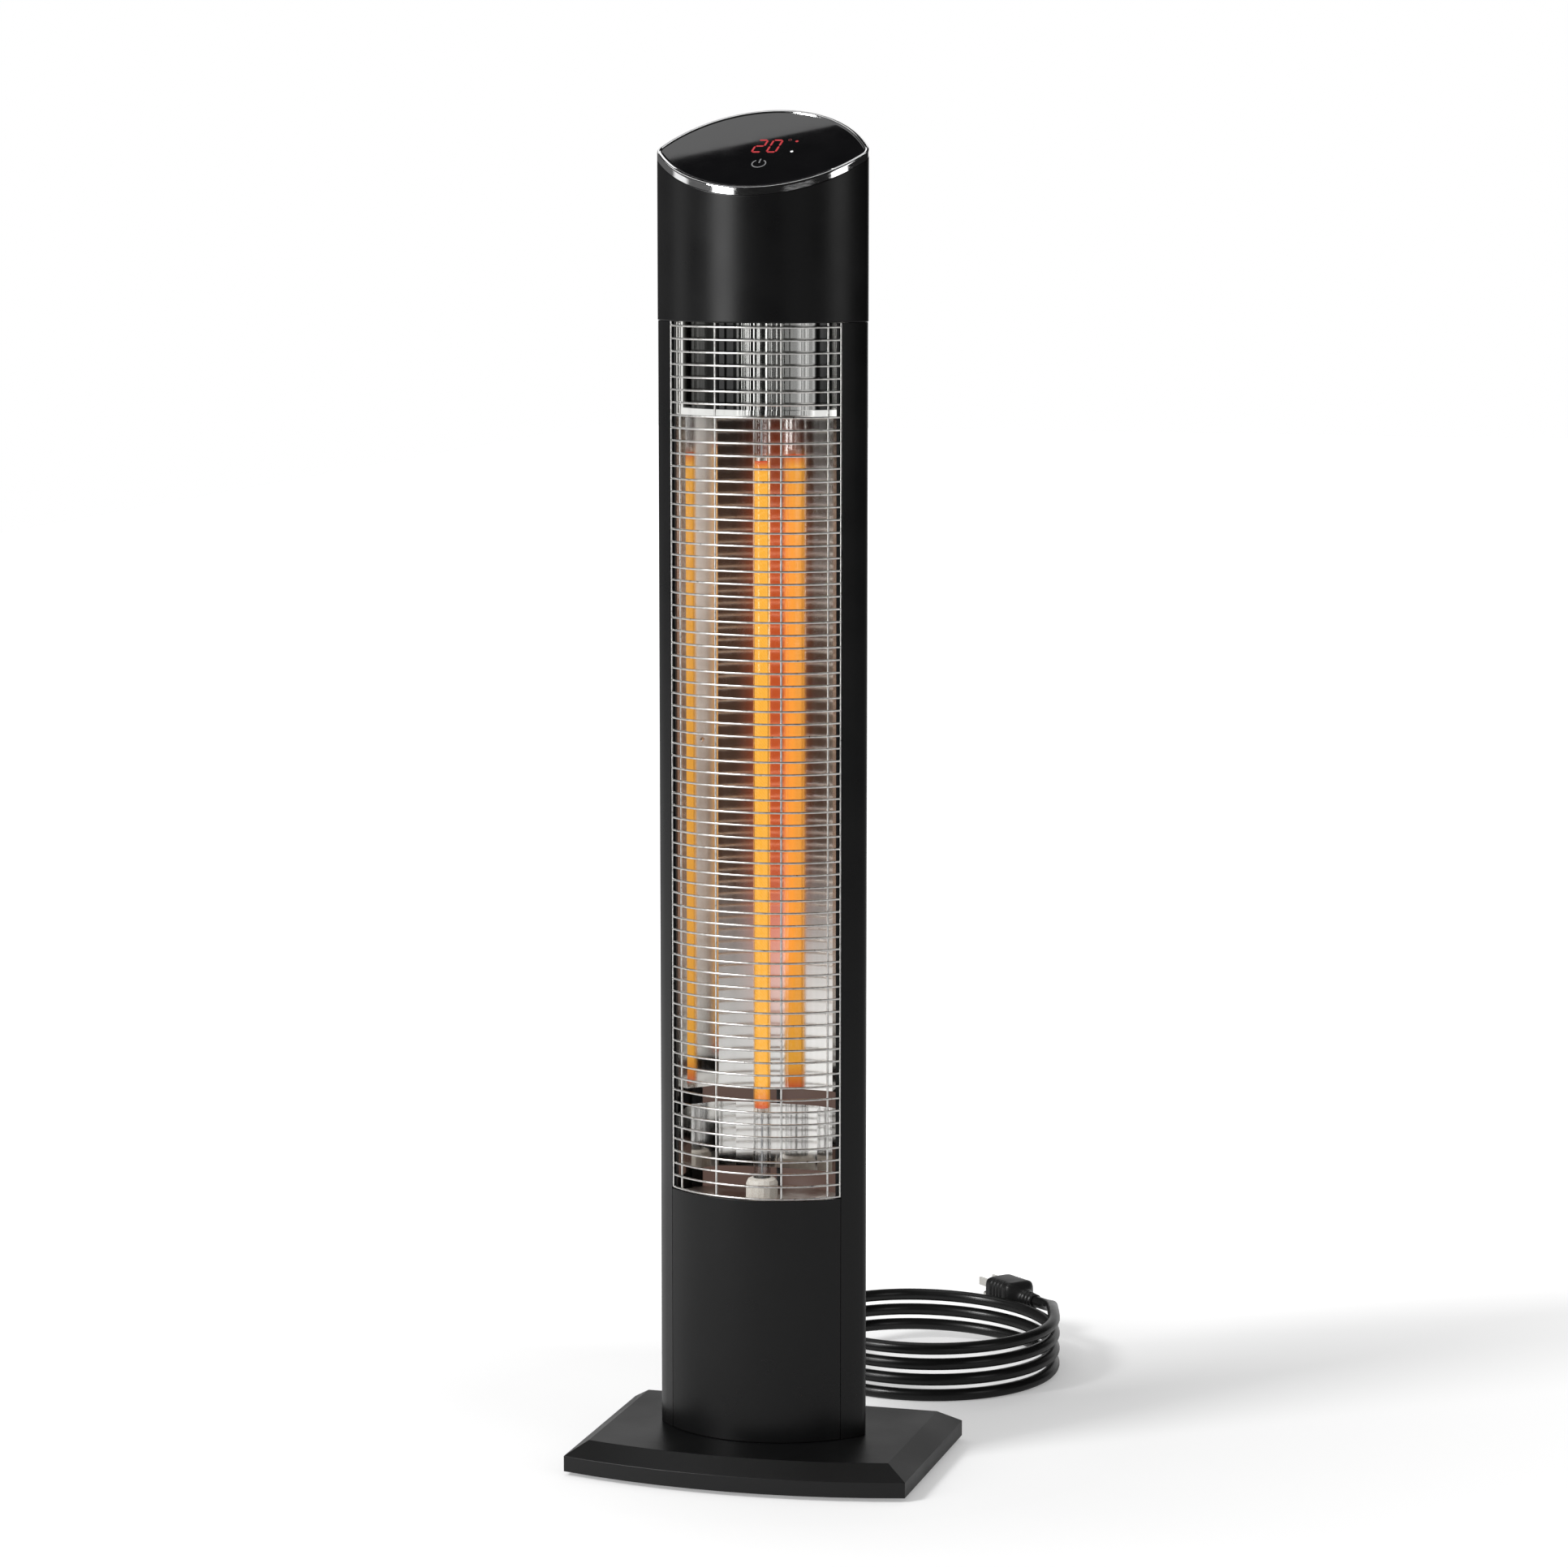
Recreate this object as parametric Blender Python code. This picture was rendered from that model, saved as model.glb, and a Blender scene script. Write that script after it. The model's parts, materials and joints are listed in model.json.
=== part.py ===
"""Tower heater: a free-standing column with one upright carbon tube behind a wire guard.

Run it in Blender 4.5. Lengths are in metres, +Z is up and the heater faces -Y.
The origin is on the ground, under the middle of the base.
"""

import math

import bmesh
import bpy
from mathutils import Matrix, Vector

# Body outline, a lens of two arcs joined by small corner arcs
BODY_WIDTH = 0.150
BODY_FRONT_DEPTH = 0.042
BODY_BACK_DEPTH = 0.046
BODY_CORNER_RADIUS = 0.008
BODY_Y = 0.003

# Heights of the column, from the base up
PANEL_HEIGHT = 0.1734
HEAD_HEIGHT = 0.1168
HEAD_TILT = math.radians(31.06)

# Base
BASE_WIDTH = 0.2476
BASE_SIDE_LENGTH = 0.1672
BASE_BOW = 0.018
BASE_RIM_HEIGHT = 0.0111
BASE_BEVEL_RISE = 0.0097
BASE_BEVEL_INSET = 0.015
BASE_WALL = 0.0025
BOTTOM_PLATE_THICKNESS = 0.0015
FOOT_HEIGHT = 0.003
FOOT_RADIUS = 0.010
FOOT_INSET = 0.024
BALLAST_WIDTH = 0.150
BALLAST_DEPTH = 0.090
BALLAST_HEIGHT = 0.008
BALLAST_X = 0.022
BALLAST_Y = -0.006
BALLAST_EDGE = 0.001

# Clearances and walls
SEAT_GAP = 0.0003
CUT_OVERRUN = 0.002
SHEET = 0.0008
PANEL_WALL = 0.002
RAIL_WALL = 0.002
HOUSING_WALL = 0.002

# Side rails, which hold the panel, the guard and the rear housing in their grooves
RAIL_FRONT_REACH = 0.0132
RAIL_BACK_REACH = 0.019
TONGUE_LENGTH = 0.004
TONGUE_THICKNESS = 0.0015
TONGUE_LAND = 0.002

# Head
HEAD_PROUD = 0.0003
HEAD_WALL = 0.002
RING_WIDTH = 0.0026
RING_HEIGHT = 0.0049
RING_ROUND = 0.0007
GLASS_THICKNESS = 0.003
GLASS_RECESS = 0.0006
CARRIER_THICKNESS = 0.004
CONTROL_BOARD_WIDTH = 0.090
CONTROL_BOARD_DEPTH = 0.044
BOARD_THICKNESS = 0.0016
DISPLAY_WIDTH = 0.036
DISPLAY_DEPTH = 0.018
DISPLAY_X = 0.004
DISPLAY_Y = 0.0085
TOUCH_RADIUS = 0.006
TOUCH_X = 0.0015
TOUCH_Y = -0.0115
TRAY_HEIGHT = 0.012
TRAY_FLOOR = 0.0025
TRAY_WALL = 0.0015

# Reflector, folded from sheet; the folds are given from the middle outwards
REFLECTOR_BACK_ROOM = 0.008
REFLECTOR_RADIUS = 0.350
REFLECTOR_SIDE_INSET = 0.0038
REFLECTOR_SLANT_WIDTH = 0.016
REFLECTOR_FLAT_WIDTH = 0.012
LOWER_REFLECTOR_HEIGHT = 0.0467
LOWER_REFLECTOR_LIFT = 0.014
REFLECTOR_SLOT = 0.0118
FLOOR_THICKNESS = 0.001
FLOOR_DROP = 0.007
RIVET_RADIUS = 0.0018
RIVET_HEIGHT = 0.001
RIVET_LIFT = 0.249

# Upper reflector cover
COVER_INSET = 0.010
COVER_HEIGHT = 0.0645
COVER_LIP_HEIGHT = 0.005
COVER_LIP_PROUD = 0.001
COVER_FLANGE = 0.008
COVER_STEP = 0.0004

# Heating tube
TUBE_X = 0
TUBE_Y = 0
TUBE_RADIUS = 0.006
TUBE_WALL = 0.001
ELEMENT_RADIUS = 0.0047
ELEMENT_LIFT = 0.0655
ELEMENT_END = 0.0448
LEAD_RADIUS = 0.0007
CLAMP_RADIUS = 0.0036
CLAMP_HEIGHT = 0.003
CAP_RADIUS = 0.0113
CAP_HEIGHT = 0.0152
CAP_ROUND = 0.004
SOCKET_DEPTH = 0.0075
STEM_RADIUS = 0.004
STEM_LENGTH = 0.005
STEM_BORE = 0.0012
CLIP_RADIUS = 0.008
CLIP_THICKNESS = 0.002
TUBE_SPAN = 0.5570
TUBE_HEAD_ROOM = 0.0517
BRACKET_HALF = 0.008
BRACKET_THICKNESS = 0.001
BRACKET_RISE = 0.026
CUTOUT_RADIUS = 0.008
CUTOUT_HEIGHT = 0.0085
CUTOUT_X = 0.022
CUTOUT_Y = 0.012

# Wire guard
WIRE = 0.0015
WIRE_PITCH = 0.0088
WIRE_INSET = 0.0012
GUARD_TOP_MARGIN = 0.0021
UPRIGHT_EDGE_INSET = 0.001
UPRIGHT_SIDE_INSET = 0.0088
UPRIGHT_MIDDLE_INSET = 0.0382

# Electrical parts in the foot of the column
POWER_BOARD_HALF = 0.028
POWER_BOARD_HEIGHT = 0.052
POWER_BOARD_LIFT = 0.1019
RELAY_WIDTH = 0.015
RELAY_DEPTH = 0.012
RELAY_HEIGHT = 0.019
TERMINAL_WIDTH = 0.022
TERMINAL_DEPTH = 0.010
TERMINAL_HEIGHT = 0.013
TERMINAL_LIFT = 0.004
LOOM_RADIUS = 0.002
LOOM_START_LIFT = 0.019
LOOM_NOTCH = 0.0008
SUPPLY_RADIUS = 0.003

# Rear rocker switch
SWITCH_LIFT = 0.0784
SWITCH_WIDTH = 0.0126
SWITCH_HEIGHT = 0.0190
SWITCH_FLANGE = 0.003
SWITCH_FLANGE_THICKNESS = 0.002
SWITCH_DEPTH = 0.016
ROCKER_RADIUS = 0.0066
ROCKER_WIDTH = 0.0092
ROCKER_PROUD = 0.0036
ROCKER_BACK = 0.0032
ROCKER_PIVOT_DEPTH = 0.0005
ROCKER_TILT = math.radians(8)

# Tip-over switch in the base
TIP_SIDE_INSET = 0.0398
TIP_BACK_INSET = 0.0526
TIP_WIDTH = 0.022
TIP_DEPTH = 0.014
TIP_HEIGHT = 0.0155
PLUNGER_RADIUS = 0.003
PLUNGER_HEAD_RADIUS = 0.0042
PLUNGER_HEAD_HEIGHT = 0.002
PLUNGER_TRAVEL = 0.004
PLUNGER_LIFT = 0.0003
TIP_ROOF = 0.0015
TIP_FLOOR = 0.001
TIP_SPRING_WIRE = 0.0003
TIP_SPRING_RADIUS = 0.0030
TIP_SPRING_TURNS = 3

# Fasteners and the bracket that joins the column to the base
BRACKET_CUP_HEIGHT = 0.030
BRACKET_CUP_FLOOR = 0.002
BRACKET_CUP_WALL = 0.0015
BOLT_RADIUS = 0.0025
BOLT_HEAD_RADIUS = 0.0045
BOLT_HEAD_HEIGHT = 0.003
BOLT_X = 0.035
CABLE_HOLE_RADIUS = 0.006
SCREW_RADIUS = 0.0013
SCREW_HEAD_RADIUS = 0.0030
SCREW_HEAD_HEIGHT = 0.0014
SCREW_INSET = 0.002
SCREW_LOW_LIFT = 0.040
SCREW_HIGH_DROP = 0.030

# Mains cord
CORD_RADIUS = 0.0045
EXIT_LIFT = 0.0509
EXIT_TILT = math.radians(45)
BOOT_RADIUS = 0.0068
BOOT_END_RADIUS = 0.0055
BOOT_INNER_LENGTH = 0.010
BOOT_COLLAR = 0.006
BOOT_LENGTH = 0.036
COIL_X = 0.0545
COIL_Y = 0.279
COIL_RADIUS = 0.0935
COIL_PITCH = 0.0118
COIL_TILT = 0.0019
COIL_START_ANGLE = math.radians(250)
COIL_LEAVE_ANGLE = math.radians(374.5)
COIL_WHOLE_TURNS = 3
COIL_RUN_OUT = 0.0435
COIL_END_RADIUS = 0.034
COIL_END_SWEEP = math.radians(35.5)
TAIL_POINT_SPACING = 0.018
TAIL_ROUTE = (
    (0.0000, 0.0865, 0.0365),
    (-0.0020, 0.1000, 0.0230),
    (-0.0080, 0.1120, 0.0120),
    (-0.0180, 0.1225, 0.0063),
    (-0.0305, 0.1305, 0.0048),
    (-0.0420, 0.1400, 0.0046),
    (-0.0490, 0.1530, 0.0046),
    (-0.0495, 0.1680, 0.0046),
    (-0.0435, 0.1820, 0.0046),
    (-0.0320, 0.1925, 0.0046),
    (-0.0180, 0.1985, 0.0046),
    (-0.0040, 0.1995, 0.0046),
)

# Plug
PLUG_AXIS_Z = 0.0355
PLUG_WIDTH = 0.027
PLUG_HEIGHT = 0.023
PLUG_LENGTH = 0.034
PLUG_NECK_LENGTH = 0.014
PLUG_NECK_RADIUS = 0.0055
PLUG_NECK_END_RADIUS = 0.0066
PLUG_NECK_TAPER_SHARE = 0.8
PLUG_SHOULDER_WIDTH_SHARE = 0.7
PLUG_SHOULDER_HEIGHT_SHARE = 0.8
PLUG_SHOULDER_LENGTH_SHARE = 0.25
PLUG_EDGE = 0.0015
BLADE_LENGTH = 0.016
BLADE_WIDTH = 0.0063
BLADE_THICKNESS = 0.0015
BLADE_SPACING = 0.0127
BLADE_RISE = 0.0048
EARTH_PIN_RADIUS = 0.0024
EARTH_PIN_LENGTH = 0.0185
EARTH_PIN_DROP = 0.0066

# Counts and smoothing
ARC_STEPS = 10
CORNER_STEPS = 4
TURN_STEPS = 16
SMALL_STEPS = 12
COIL_STEPS = 24
COVER_FACETS = 10
SMOOTH_ANGLE = math.radians(31)
MERGE_DISTANCE = 1e-6

# Places that follow from the sizes above
FRONT_RADIUS = (
    (BODY_WIDTH / 2 - BODY_CORNER_RADIUS) ** 2 + BODY_FRONT_DEPTH**2 - BODY_CORNER_RADIUS**2
) / (2 * (BODY_FRONT_DEPTH - BODY_CORNER_RADIUS))
BACK_RADIUS = (
    (BODY_WIDTH / 2 - BODY_CORNER_RADIUS) ** 2 + BODY_BACK_DEPTH**2 - BODY_CORNER_RADIUS**2
) / (2 * (BODY_BACK_DEPTH - BODY_CORNER_RADIUS))
FRONT_CENTRE_Y = BODY_Y - BODY_FRONT_DEPTH + FRONT_RADIUS
BACK_CENTRE_Y = BODY_Y + BODY_BACK_DEPTH - BACK_RADIUS
TONGUE_FRONT = PANEL_WALL + SEAT_GAP
TONGUE_BACK = TONGUE_FRONT + TONGUE_THICKNESS
RAIL_FRONT_X = BODY_WIDTH / 2 - RAIL_FRONT_REACH
RAIL_BACK_X = BODY_WIDTH / 2 - RAIL_BACK_REACH
SCREW_X = RAIL_BACK_X - SCREW_INSET
REFLECTOR_EDGE_X = RAIL_FRONT_X - TONGUE_LENGTH - SEAT_GAP
REFLECTOR_SIDE_X = RAIL_FRONT_X - REFLECTOR_SIDE_INSET
REFLECTOR_FOLD_X = REFLECTOR_SIDE_X - REFLECTOR_SLANT_WIDTH
REFLECTOR_CENTRE_HALF = REFLECTOR_FOLD_X - REFLECTOR_FLAT_WIDTH
REFLECTOR_VERTEX_Y = BODY_Y + BODY_BACK_DEPTH - HOUSING_WALL - REFLECTOR_BACK_ROOM
RIM_TOP = FOOT_HEIGHT + BASE_RIM_HEIGHT
BASE_TOP = RIM_TOP + BASE_BEVEL_RISE
BASE_BACK_Y = (BASE_SIDE_LENGTH + BASE_BOW) / 2
TIP_X = TIP_SIDE_INSET - BASE_WIDTH / 2
TIP_Y = BASE_BACK_Y - TIP_BACK_INSET
PLATE_BOTTOM = FOOT_HEIGHT + SEAT_GAP
PLATE_TOP = PLATE_BOTTOM + BOTTOM_PLATE_THICKNESS
COLUMN_BOTTOM = BASE_TOP + SEAT_GAP
PANEL_TOP = COLUMN_BOTTOM + PANEL_HEIGHT
FLOOR_TOP = PANEL_TOP - FLOOR_DROP
FLOOR_BOTTOM = FLOOR_TOP - FLOOR_THICKNESS
LOWER_CAP_BOTTOM = FLOOR_TOP + SEAT_GAP
LOWER_CAP_TOP = LOWER_CAP_BOTTOM + CAP_HEIGHT
TUBE_BOTTOM = LOWER_CAP_TOP - SOCKET_DEPTH + SEAT_GAP
TUBE_TOP = TUBE_BOTTOM + TUBE_SPAN
UPPER_CAP_BOTTOM = TUBE_TOP + SEAT_GAP - SOCKET_DEPTH
UPPER_CAP_TOP = UPPER_CAP_BOTTOM + CAP_HEIGHT
ELEMENT_BOTTOM = FLOOR_TOP + ELEMENT_LIFT
ELEMENT_TOP = TUBE_TOP - ELEMENT_END
HEAD_BOTTOM = TUBE_TOP + TUBE_HEAD_ROOM
COLUMN_TOP = HEAD_BOTTOM - SEAT_GAP
HEAD_TOP = HEAD_BOTTOM + HEAD_HEIGHT
LOWER_REFLECTOR_BOTTOM = FLOOR_TOP + LOWER_REFLECTOR_LIFT
REFLECTOR_BOTTOM = LOWER_REFLECTOR_BOTTOM + LOWER_REFLECTOR_HEIGHT + REFLECTOR_SLOT
REFLECTOR_TOP = COLUMN_TOP - 2 * SEAT_GAP
RIVET_Z = REFLECTOR_BOTTOM + RIVET_LIFT
COVER_BOTTOM = COLUMN_TOP - SEAT_GAP - COVER_HEIGHT
SWITCH_Z = COLUMN_BOTTOM + SWITCH_LIFT
EXIT_Z = COLUMN_BOTTOM + EXIT_LIFT
POWER_BOARD_Z = COLUMN_BOTTOM + POWER_BOARD_LIFT
LOOM_START_Z = POWER_BOARD_Z + LOOM_START_LIFT
LOOM_Y = BACK_CENTRE_Y + BACK_RADIUS - HOUSING_WALL - SEAT_GAP - LOOM_RADIUS
CARRIER_TOP_DROP = GLASS_RECESS + GLASS_THICKNESS + SEAT_GAP
CARRIER_BOTTOM_DROP = CARRIER_TOP_DROP + CARRIER_THICKNESS
BOARD_TOP_DROP = CARRIER_BOTTOM_DROP + SEAT_GAP
HEAD_INNER_INSET = RING_WIDTH - HEAD_PROUD + SEAT_GAP


def clear_scene():
    for obj in list(bpy.data.objects):
        bpy.data.objects.remove(obj, do_unlink=True)


def material(name, colour, roughness, metallic=0.0, glow=None, clear=0.0):
    """A plain Principled material; glow is an emission colour, clear a transmission weight."""
    made = bpy.data.materials.get(name)
    if made:
        return made
    made = bpy.data.materials.new(name)
    made.use_nodes = True
    made.diffuse_color = (*colour, 1)
    shader = made.node_tree.nodes["Principled BSDF"]
    shader.inputs["Base Color"].default_value = (*colour, 1)
    shader.inputs["Roughness"].default_value = roughness
    shader.inputs["Metallic"].default_value = metallic
    shader.inputs["Transmission Weight"].default_value = clear
    if glow:
        shader.inputs["Emission Color"].default_value = (*glow, 1)
        shader.inputs["Emission Strength"].default_value = 1
    return made


def satin_black():
    return material("satin_black", (0.022, 0.022, 0.023), 0.38, 0.2)


def matte_black():
    return material("matte_black", (0.02, 0.02, 0.021), 0.55)


def gloss_black():
    return material("gloss_black", (0.008, 0.008, 0.009), 0.06)


def polished_steel():
    return material("polished_steel", (0.78, 0.77, 0.75), 0.14, 1)


def bright_chrome():
    return material("bright_chrome", (0.84, 0.84, 0.84), 0.05, 1)


def plated_wire():
    return material("plated_wire", (0.72, 0.71, 0.69), 0.22, 1)


def zinc_steel():
    return material("zinc_steel", (0.55, 0.56, 0.57), 0.35, 1)


def ceramic():
    return material("ceramic", (0.80, 0.76, 0.70), 0.5)


def quartz():
    return material("quartz", (0.97, 0.97, 0.97), 0.02, 0, None, 1)


def glowing_carbon():
    return material("glowing_carbon", (1, 0.42, 0.06), 0.7, 0, (1, 0.36, 0.04))


def green_board():
    return material("green_board", (0.03, 0.14, 0.06), 0.5)


def rubber_black():
    return material("rubber_black", (0.013, 0.013, 0.013), 0.6)


def cast_iron():
    return material("cast_iron", (0.06, 0.06, 0.065), 0.7, 0.6)


def red_display():
    return material("red_display", (0.25, 0.005, 0.005), 0.3, 0, (1, 0.02, 0.02))


def link(name, mesh, finish, smooth=True):
    """An object with this mesh and material, its flat faces kept sharp."""
    mesh.materials.append(finish)
    if smooth:
        mesh.shade_smooth()
        mesh.set_sharp_from_angle(angle=SMOOTH_ANGLE)
    obj = bpy.data.objects.new(name, mesh)
    bpy.context.scene.collection.objects.link(obj)
    return obj


def from_bmesh(name, bm, finish, smooth=True):
    bmesh.ops.recalc_face_normals(bm, faces=bm.faces)
    mesh = bpy.data.meshes.new(name)
    bm.to_mesh(mesh)
    bm.free()
    return link(name, mesh, finish, smooth)


def loft(name, rings, finish, closed=False, smooth=True):
    """A skin over rings of equal count: closed into a tube wall, or capped at both ends."""
    bm = bmesh.new()
    rows = [[bm.verts.new(point) for point in ring] for ring in rings]
    pairs = list(zip(rows, rows[1:]))
    if closed:
        pairs.append((rows[-1], rows[0]))
    else:
        bm.faces.new(rows[0])
        bm.faces.new(rows[-1])
    for low, high in pairs:
        count = len(low)
        for i in range(count):
            j = (i + 1) % count
            bm.faces.new((low[i], low[j], high[j], high[i]))
    return from_bmesh(name, bm, finish, smooth)


def prism(name, outline, bottom, top, finish, smooth=True):
    """An upright block over a plan outline."""
    bm = bmesh.new()
    face = bm.faces.new([bm.verts.new((x, y, bottom)) for x, y in outline])
    grown = bmesh.ops.extrude_face_region(bm, geom=[face])["geom"]
    moved = [item for item in grown if isinstance(item, bmesh.types.BMVert)]
    bmesh.ops.translate(bm, verts=moved, vec=(0, 0, top - bottom))
    return from_bmesh(name, bm, finish, smooth)


def turned(name, profile, finish, location=(0, 0, 0), steps=TURN_STEPS, hollow=False):
    """A solid spun about its own Z axis; a hollow one has a profile that closes on itself."""
    bm = bmesh.new()
    points = [bm.verts.new((radius, 0, height)) for radius, height in profile]
    pairs = list(zip(points, points[1:]))
    if hollow:
        pairs.append((points[-1], points[0]))
    edges = [bm.edges.new(pair) for pair in pairs]
    bmesh.ops.spin(
        bm,
        geom=points + edges,
        cent=(0, 0, 0),
        axis=(0, 0, 1),
        angle=math.tau,
        steps=steps,
    )
    bmesh.ops.remove_doubles(bm, verts=bm.verts, dist=MERGE_DISTANCE)
    made = from_bmesh(name, bm, finish)
    made.location = location
    return made


def block(name, size, centre, finish, edge=0):
    """A box with its own bevelled edges."""
    bm = bmesh.new()
    bmesh.ops.create_cube(bm, size=1)
    bmesh.ops.scale(bm, vec=size, verts=bm.verts)
    made = from_bmesh(name, bm, finish, smooth=False)
    made.location = centre
    if edge:
        bevel = made.modifiers.new("edge", "BEVEL")
        bevel.width = edge
        bevel.segments = 1
    return made


def tube(name, points, radius, resolution, finish):
    """A round bar along straight runs between points."""
    curve = bpy.data.curves.new(name, "CURVE")
    curve.dimensions = "3D"
    curve.bevel_depth = radius
    curve.bevel_resolution = resolution
    curve.use_fill_caps = True
    spline = curve.splines.new("POLY")
    spline.points.add(len(points) - 1)
    for target, point in zip(spline.points, points):
        target.co = (*point, 1)
    curve.materials.append(finish)
    made = bpy.data.objects.new(name, curve)
    bpy.context.scene.collection.objects.link(made)
    return made


def cut(target, cutter):
    """Takes the cutter's shape out of the target."""
    cutter.hide_render = True
    cutter.display_type = "WIRE"
    modifier = target.modifiers.new(cutter.name, "BOOLEAN")
    modifier.operation = "DIFFERENCE"
    modifier.solver = "EXACT"
    modifier.object = cutter


def drill(target, name, radius, centre, height, turn=None):
    """A round hole, centred on a point, along Z or along a turned Z."""
    profile = [(0, height / 2), (radius, height / 2), (radius, -height / 2), (0, -height / 2)]
    cutter = turned(name, profile, matte_black(), centre)
    if turn:
        cutter.rotation_euler = turn
    cut(target, cutter)


def front_y(x, inset=0):
    return FRONT_CENTRE_Y - math.sqrt((FRONT_RADIUS - inset) ** 2 - x**2)


def back_y(x, inset=0):
    return BACK_CENTRE_Y + math.sqrt((BACK_RADIUS - inset) ** 2 - x**2)


def spread(first, last, steps):
    return [first + (last - first) * i / steps for i in range(steps + 1)]


def arc(centre_x, centre_y, radius, first, last, steps):
    return [
        (centre_x + radius * math.cos(turn), centre_y + radius * math.sin(turn))
        for turn in spread(first, last, steps)
    ]


def lens_path(front_x, back_x, inset):
    """The right-hand side of the body outline, from the front round the corner to the back."""
    corner_x = BODY_WIDTH / 2 - BODY_CORNER_RADIUS
    front_turn = math.atan2(BODY_Y - FRONT_CENTRE_Y, corner_x)
    back_turn = math.atan2(BODY_Y - BACK_CENTRE_Y, corner_x)
    front_start = -math.acos(front_x / (FRONT_RADIUS - inset))
    back_end = math.acos(back_x / (BACK_RADIUS - inset))
    front_steps = max(1, round(ARC_STEPS * (front_turn - front_start) / (front_turn + math.pi / 2)))
    back_steps = max(1, round(ARC_STEPS * (back_end - back_turn) / (math.pi / 2 - back_turn)))
    front = arc(0, FRONT_CENTRE_Y, FRONT_RADIUS - inset, front_start, front_turn, front_steps)
    corner = arc(
        corner_x, BODY_Y, BODY_CORNER_RADIUS - inset, front_turn, back_turn, CORNER_STEPS
    )
    back = arc(0, BACK_CENTRE_Y, BACK_RADIUS - inset, back_turn, back_end, back_steps)
    return front + corner[1:-1] + back


def lens_outline(inset=0):
    """The whole body outline, moved inwards by the inset."""
    right = lens_path(0, 0, inset)
    left = [(-x, y) for x, y in reversed(right[1:-1])]
    return right + left


def mirrored(outline):
    return [(-x, y) for x, y in reversed(outline)]


def front_strip(half, inner, outer, steps):
    near = [(x, front_y(x, outer)) for x in spread(-half, half, steps)]
    far = [(x, front_y(x, inner)) for x in spread(half, -half, steps)]
    return near + far


def back_strip(half, outer, inner, steps):
    far = [(x, back_y(x, outer)) for x in spread(half, -half, steps)]
    near = [(x, back_y(x, inner)) for x in spread(-half, half, steps)]
    return far + near


def at_height(outline, z):
    return [(x, y, z) for x, y in outline]


def slant_height(y, drop=0):
    """Height of the slanted head plane over a point, or of a plane that lies lower by the drop."""
    return HEAD_TOP - drop + (y - BODY_Y) * math.tan(HEAD_TILT)


def on_slant(outline, drop):
    return [(x, y, slant_height(y, drop)) for x, y in outline]


def slant_plate(name, outline, top_drop, bottom_drop, finish):
    rings = [on_slant(outline, bottom_drop), on_slant(outline, top_drop)]
    return loft(name, rings, finish)


def rectangle(centre_x, centre_y, width, depth):
    x = width / 2
    y = depth / 2
    return [
        (centre_x - x, centre_y - y),
        (centre_x + x, centre_y - y),
        (centre_x + x, centre_y + y),
        (centre_x - x, centre_y + y),
    ]


def circle(centre_x, centre_y, radius, steps=TURN_STEPS):
    return arc(centre_x, centre_y, radius, 0, math.tau, steps)[:-1]


def base_outline(inset):
    """The base seen from above: straight back and sides, and a bowed front."""
    half = BASE_WIDTH / 2
    bow_radius = (half**2 + BASE_BOW**2) / (2 * BASE_BOW)
    bow_centre_y = BASE_BACK_Y - BASE_SIDE_LENGTH - BASE_BOW + bow_radius
    reach = half - inset
    front = [
        (x, bow_centre_y - math.sqrt((bow_radius - inset) ** 2 - x**2))
        for x in spread(-reach, reach, ARC_STEPS)
    ]
    back = BASE_BACK_Y - inset
    return front + [(reach, back), (-reach, back)]


def make_base_cover():
    rings = [
        at_height(base_outline(BASE_BEVEL_INSET), BASE_TOP - BASE_WALL),
        at_height(base_outline(BASE_WALL), RIM_TOP - BASE_WALL / 2),
        at_height(base_outline(BASE_WALL), FOOT_HEIGHT),
        at_height(base_outline(0), FOOT_HEIGHT),
        at_height(base_outline(0), RIM_TOP),
        at_height(base_outline(BASE_BEVEL_INSET), BASE_TOP),
    ]
    cover = loft("base_cover", rings, satin_black())
    through = BASE_WALL + 2 * CUT_OVERRUN
    middle = BASE_TOP - BASE_WALL / 2
    for side in (-1, 1):
        name = "cover_bolt_hole_left" if side < 0 else "cover_bolt_hole_right"
        drill(cover, name, BOLT_RADIUS + SEAT_GAP, (side * BOLT_X, BODY_Y, middle), through)
    drill(cover, "cover_cable_hole", CABLE_HOLE_RADIUS, (0, BODY_Y, middle), through)


def make_bottom_plate():
    outline = base_outline(BASE_WALL + SEAT_GAP)
    plate = prism("base_bottom_plate", outline, PLATE_BOTTOM, PLATE_TOP, zinc_steel(), False)
    height = BOTTOM_PLATE_THICKNESS + 2 * CUT_OVERRUN
    centre = (TIP_X, TIP_Y, (PLATE_BOTTOM + PLATE_TOP) / 2)
    drill(plate, "plate_plunger_hole", PLUNGER_RADIUS + SEAT_GAP, centre, height)


def make_feet():
    x = BASE_WIDTH / 2 - FOOT_INSET
    back = BASE_BACK_Y - FOOT_INSET
    front = BASE_BACK_Y - BASE_SIDE_LENGTH + FOOT_INSET
    places = {
        "foot_front_left": (-x, front),
        "foot_front_right": (x, front),
        "foot_back_left": (-x, back),
        "foot_back_right": (x, back),
    }
    profile = [(0, FOOT_HEIGHT), (FOOT_RADIUS, FOOT_HEIGHT), (FOOT_RADIUS, 0), (0, 0)]
    for name, (place_x, place_y) in places.items():
        turned(name, profile, rubber_black(), (place_x, place_y, 0))


def make_ballast():
    bottom = PLATE_TOP + SEAT_GAP
    centre = (BALLAST_X, BALLAST_Y, bottom + BALLAST_HEIGHT / 2)
    size = (BALLAST_WIDTH, BALLAST_DEPTH, BALLAST_HEIGHT)
    block("base_ballast", size, centre, cast_iron(), BALLAST_EDGE)


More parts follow.
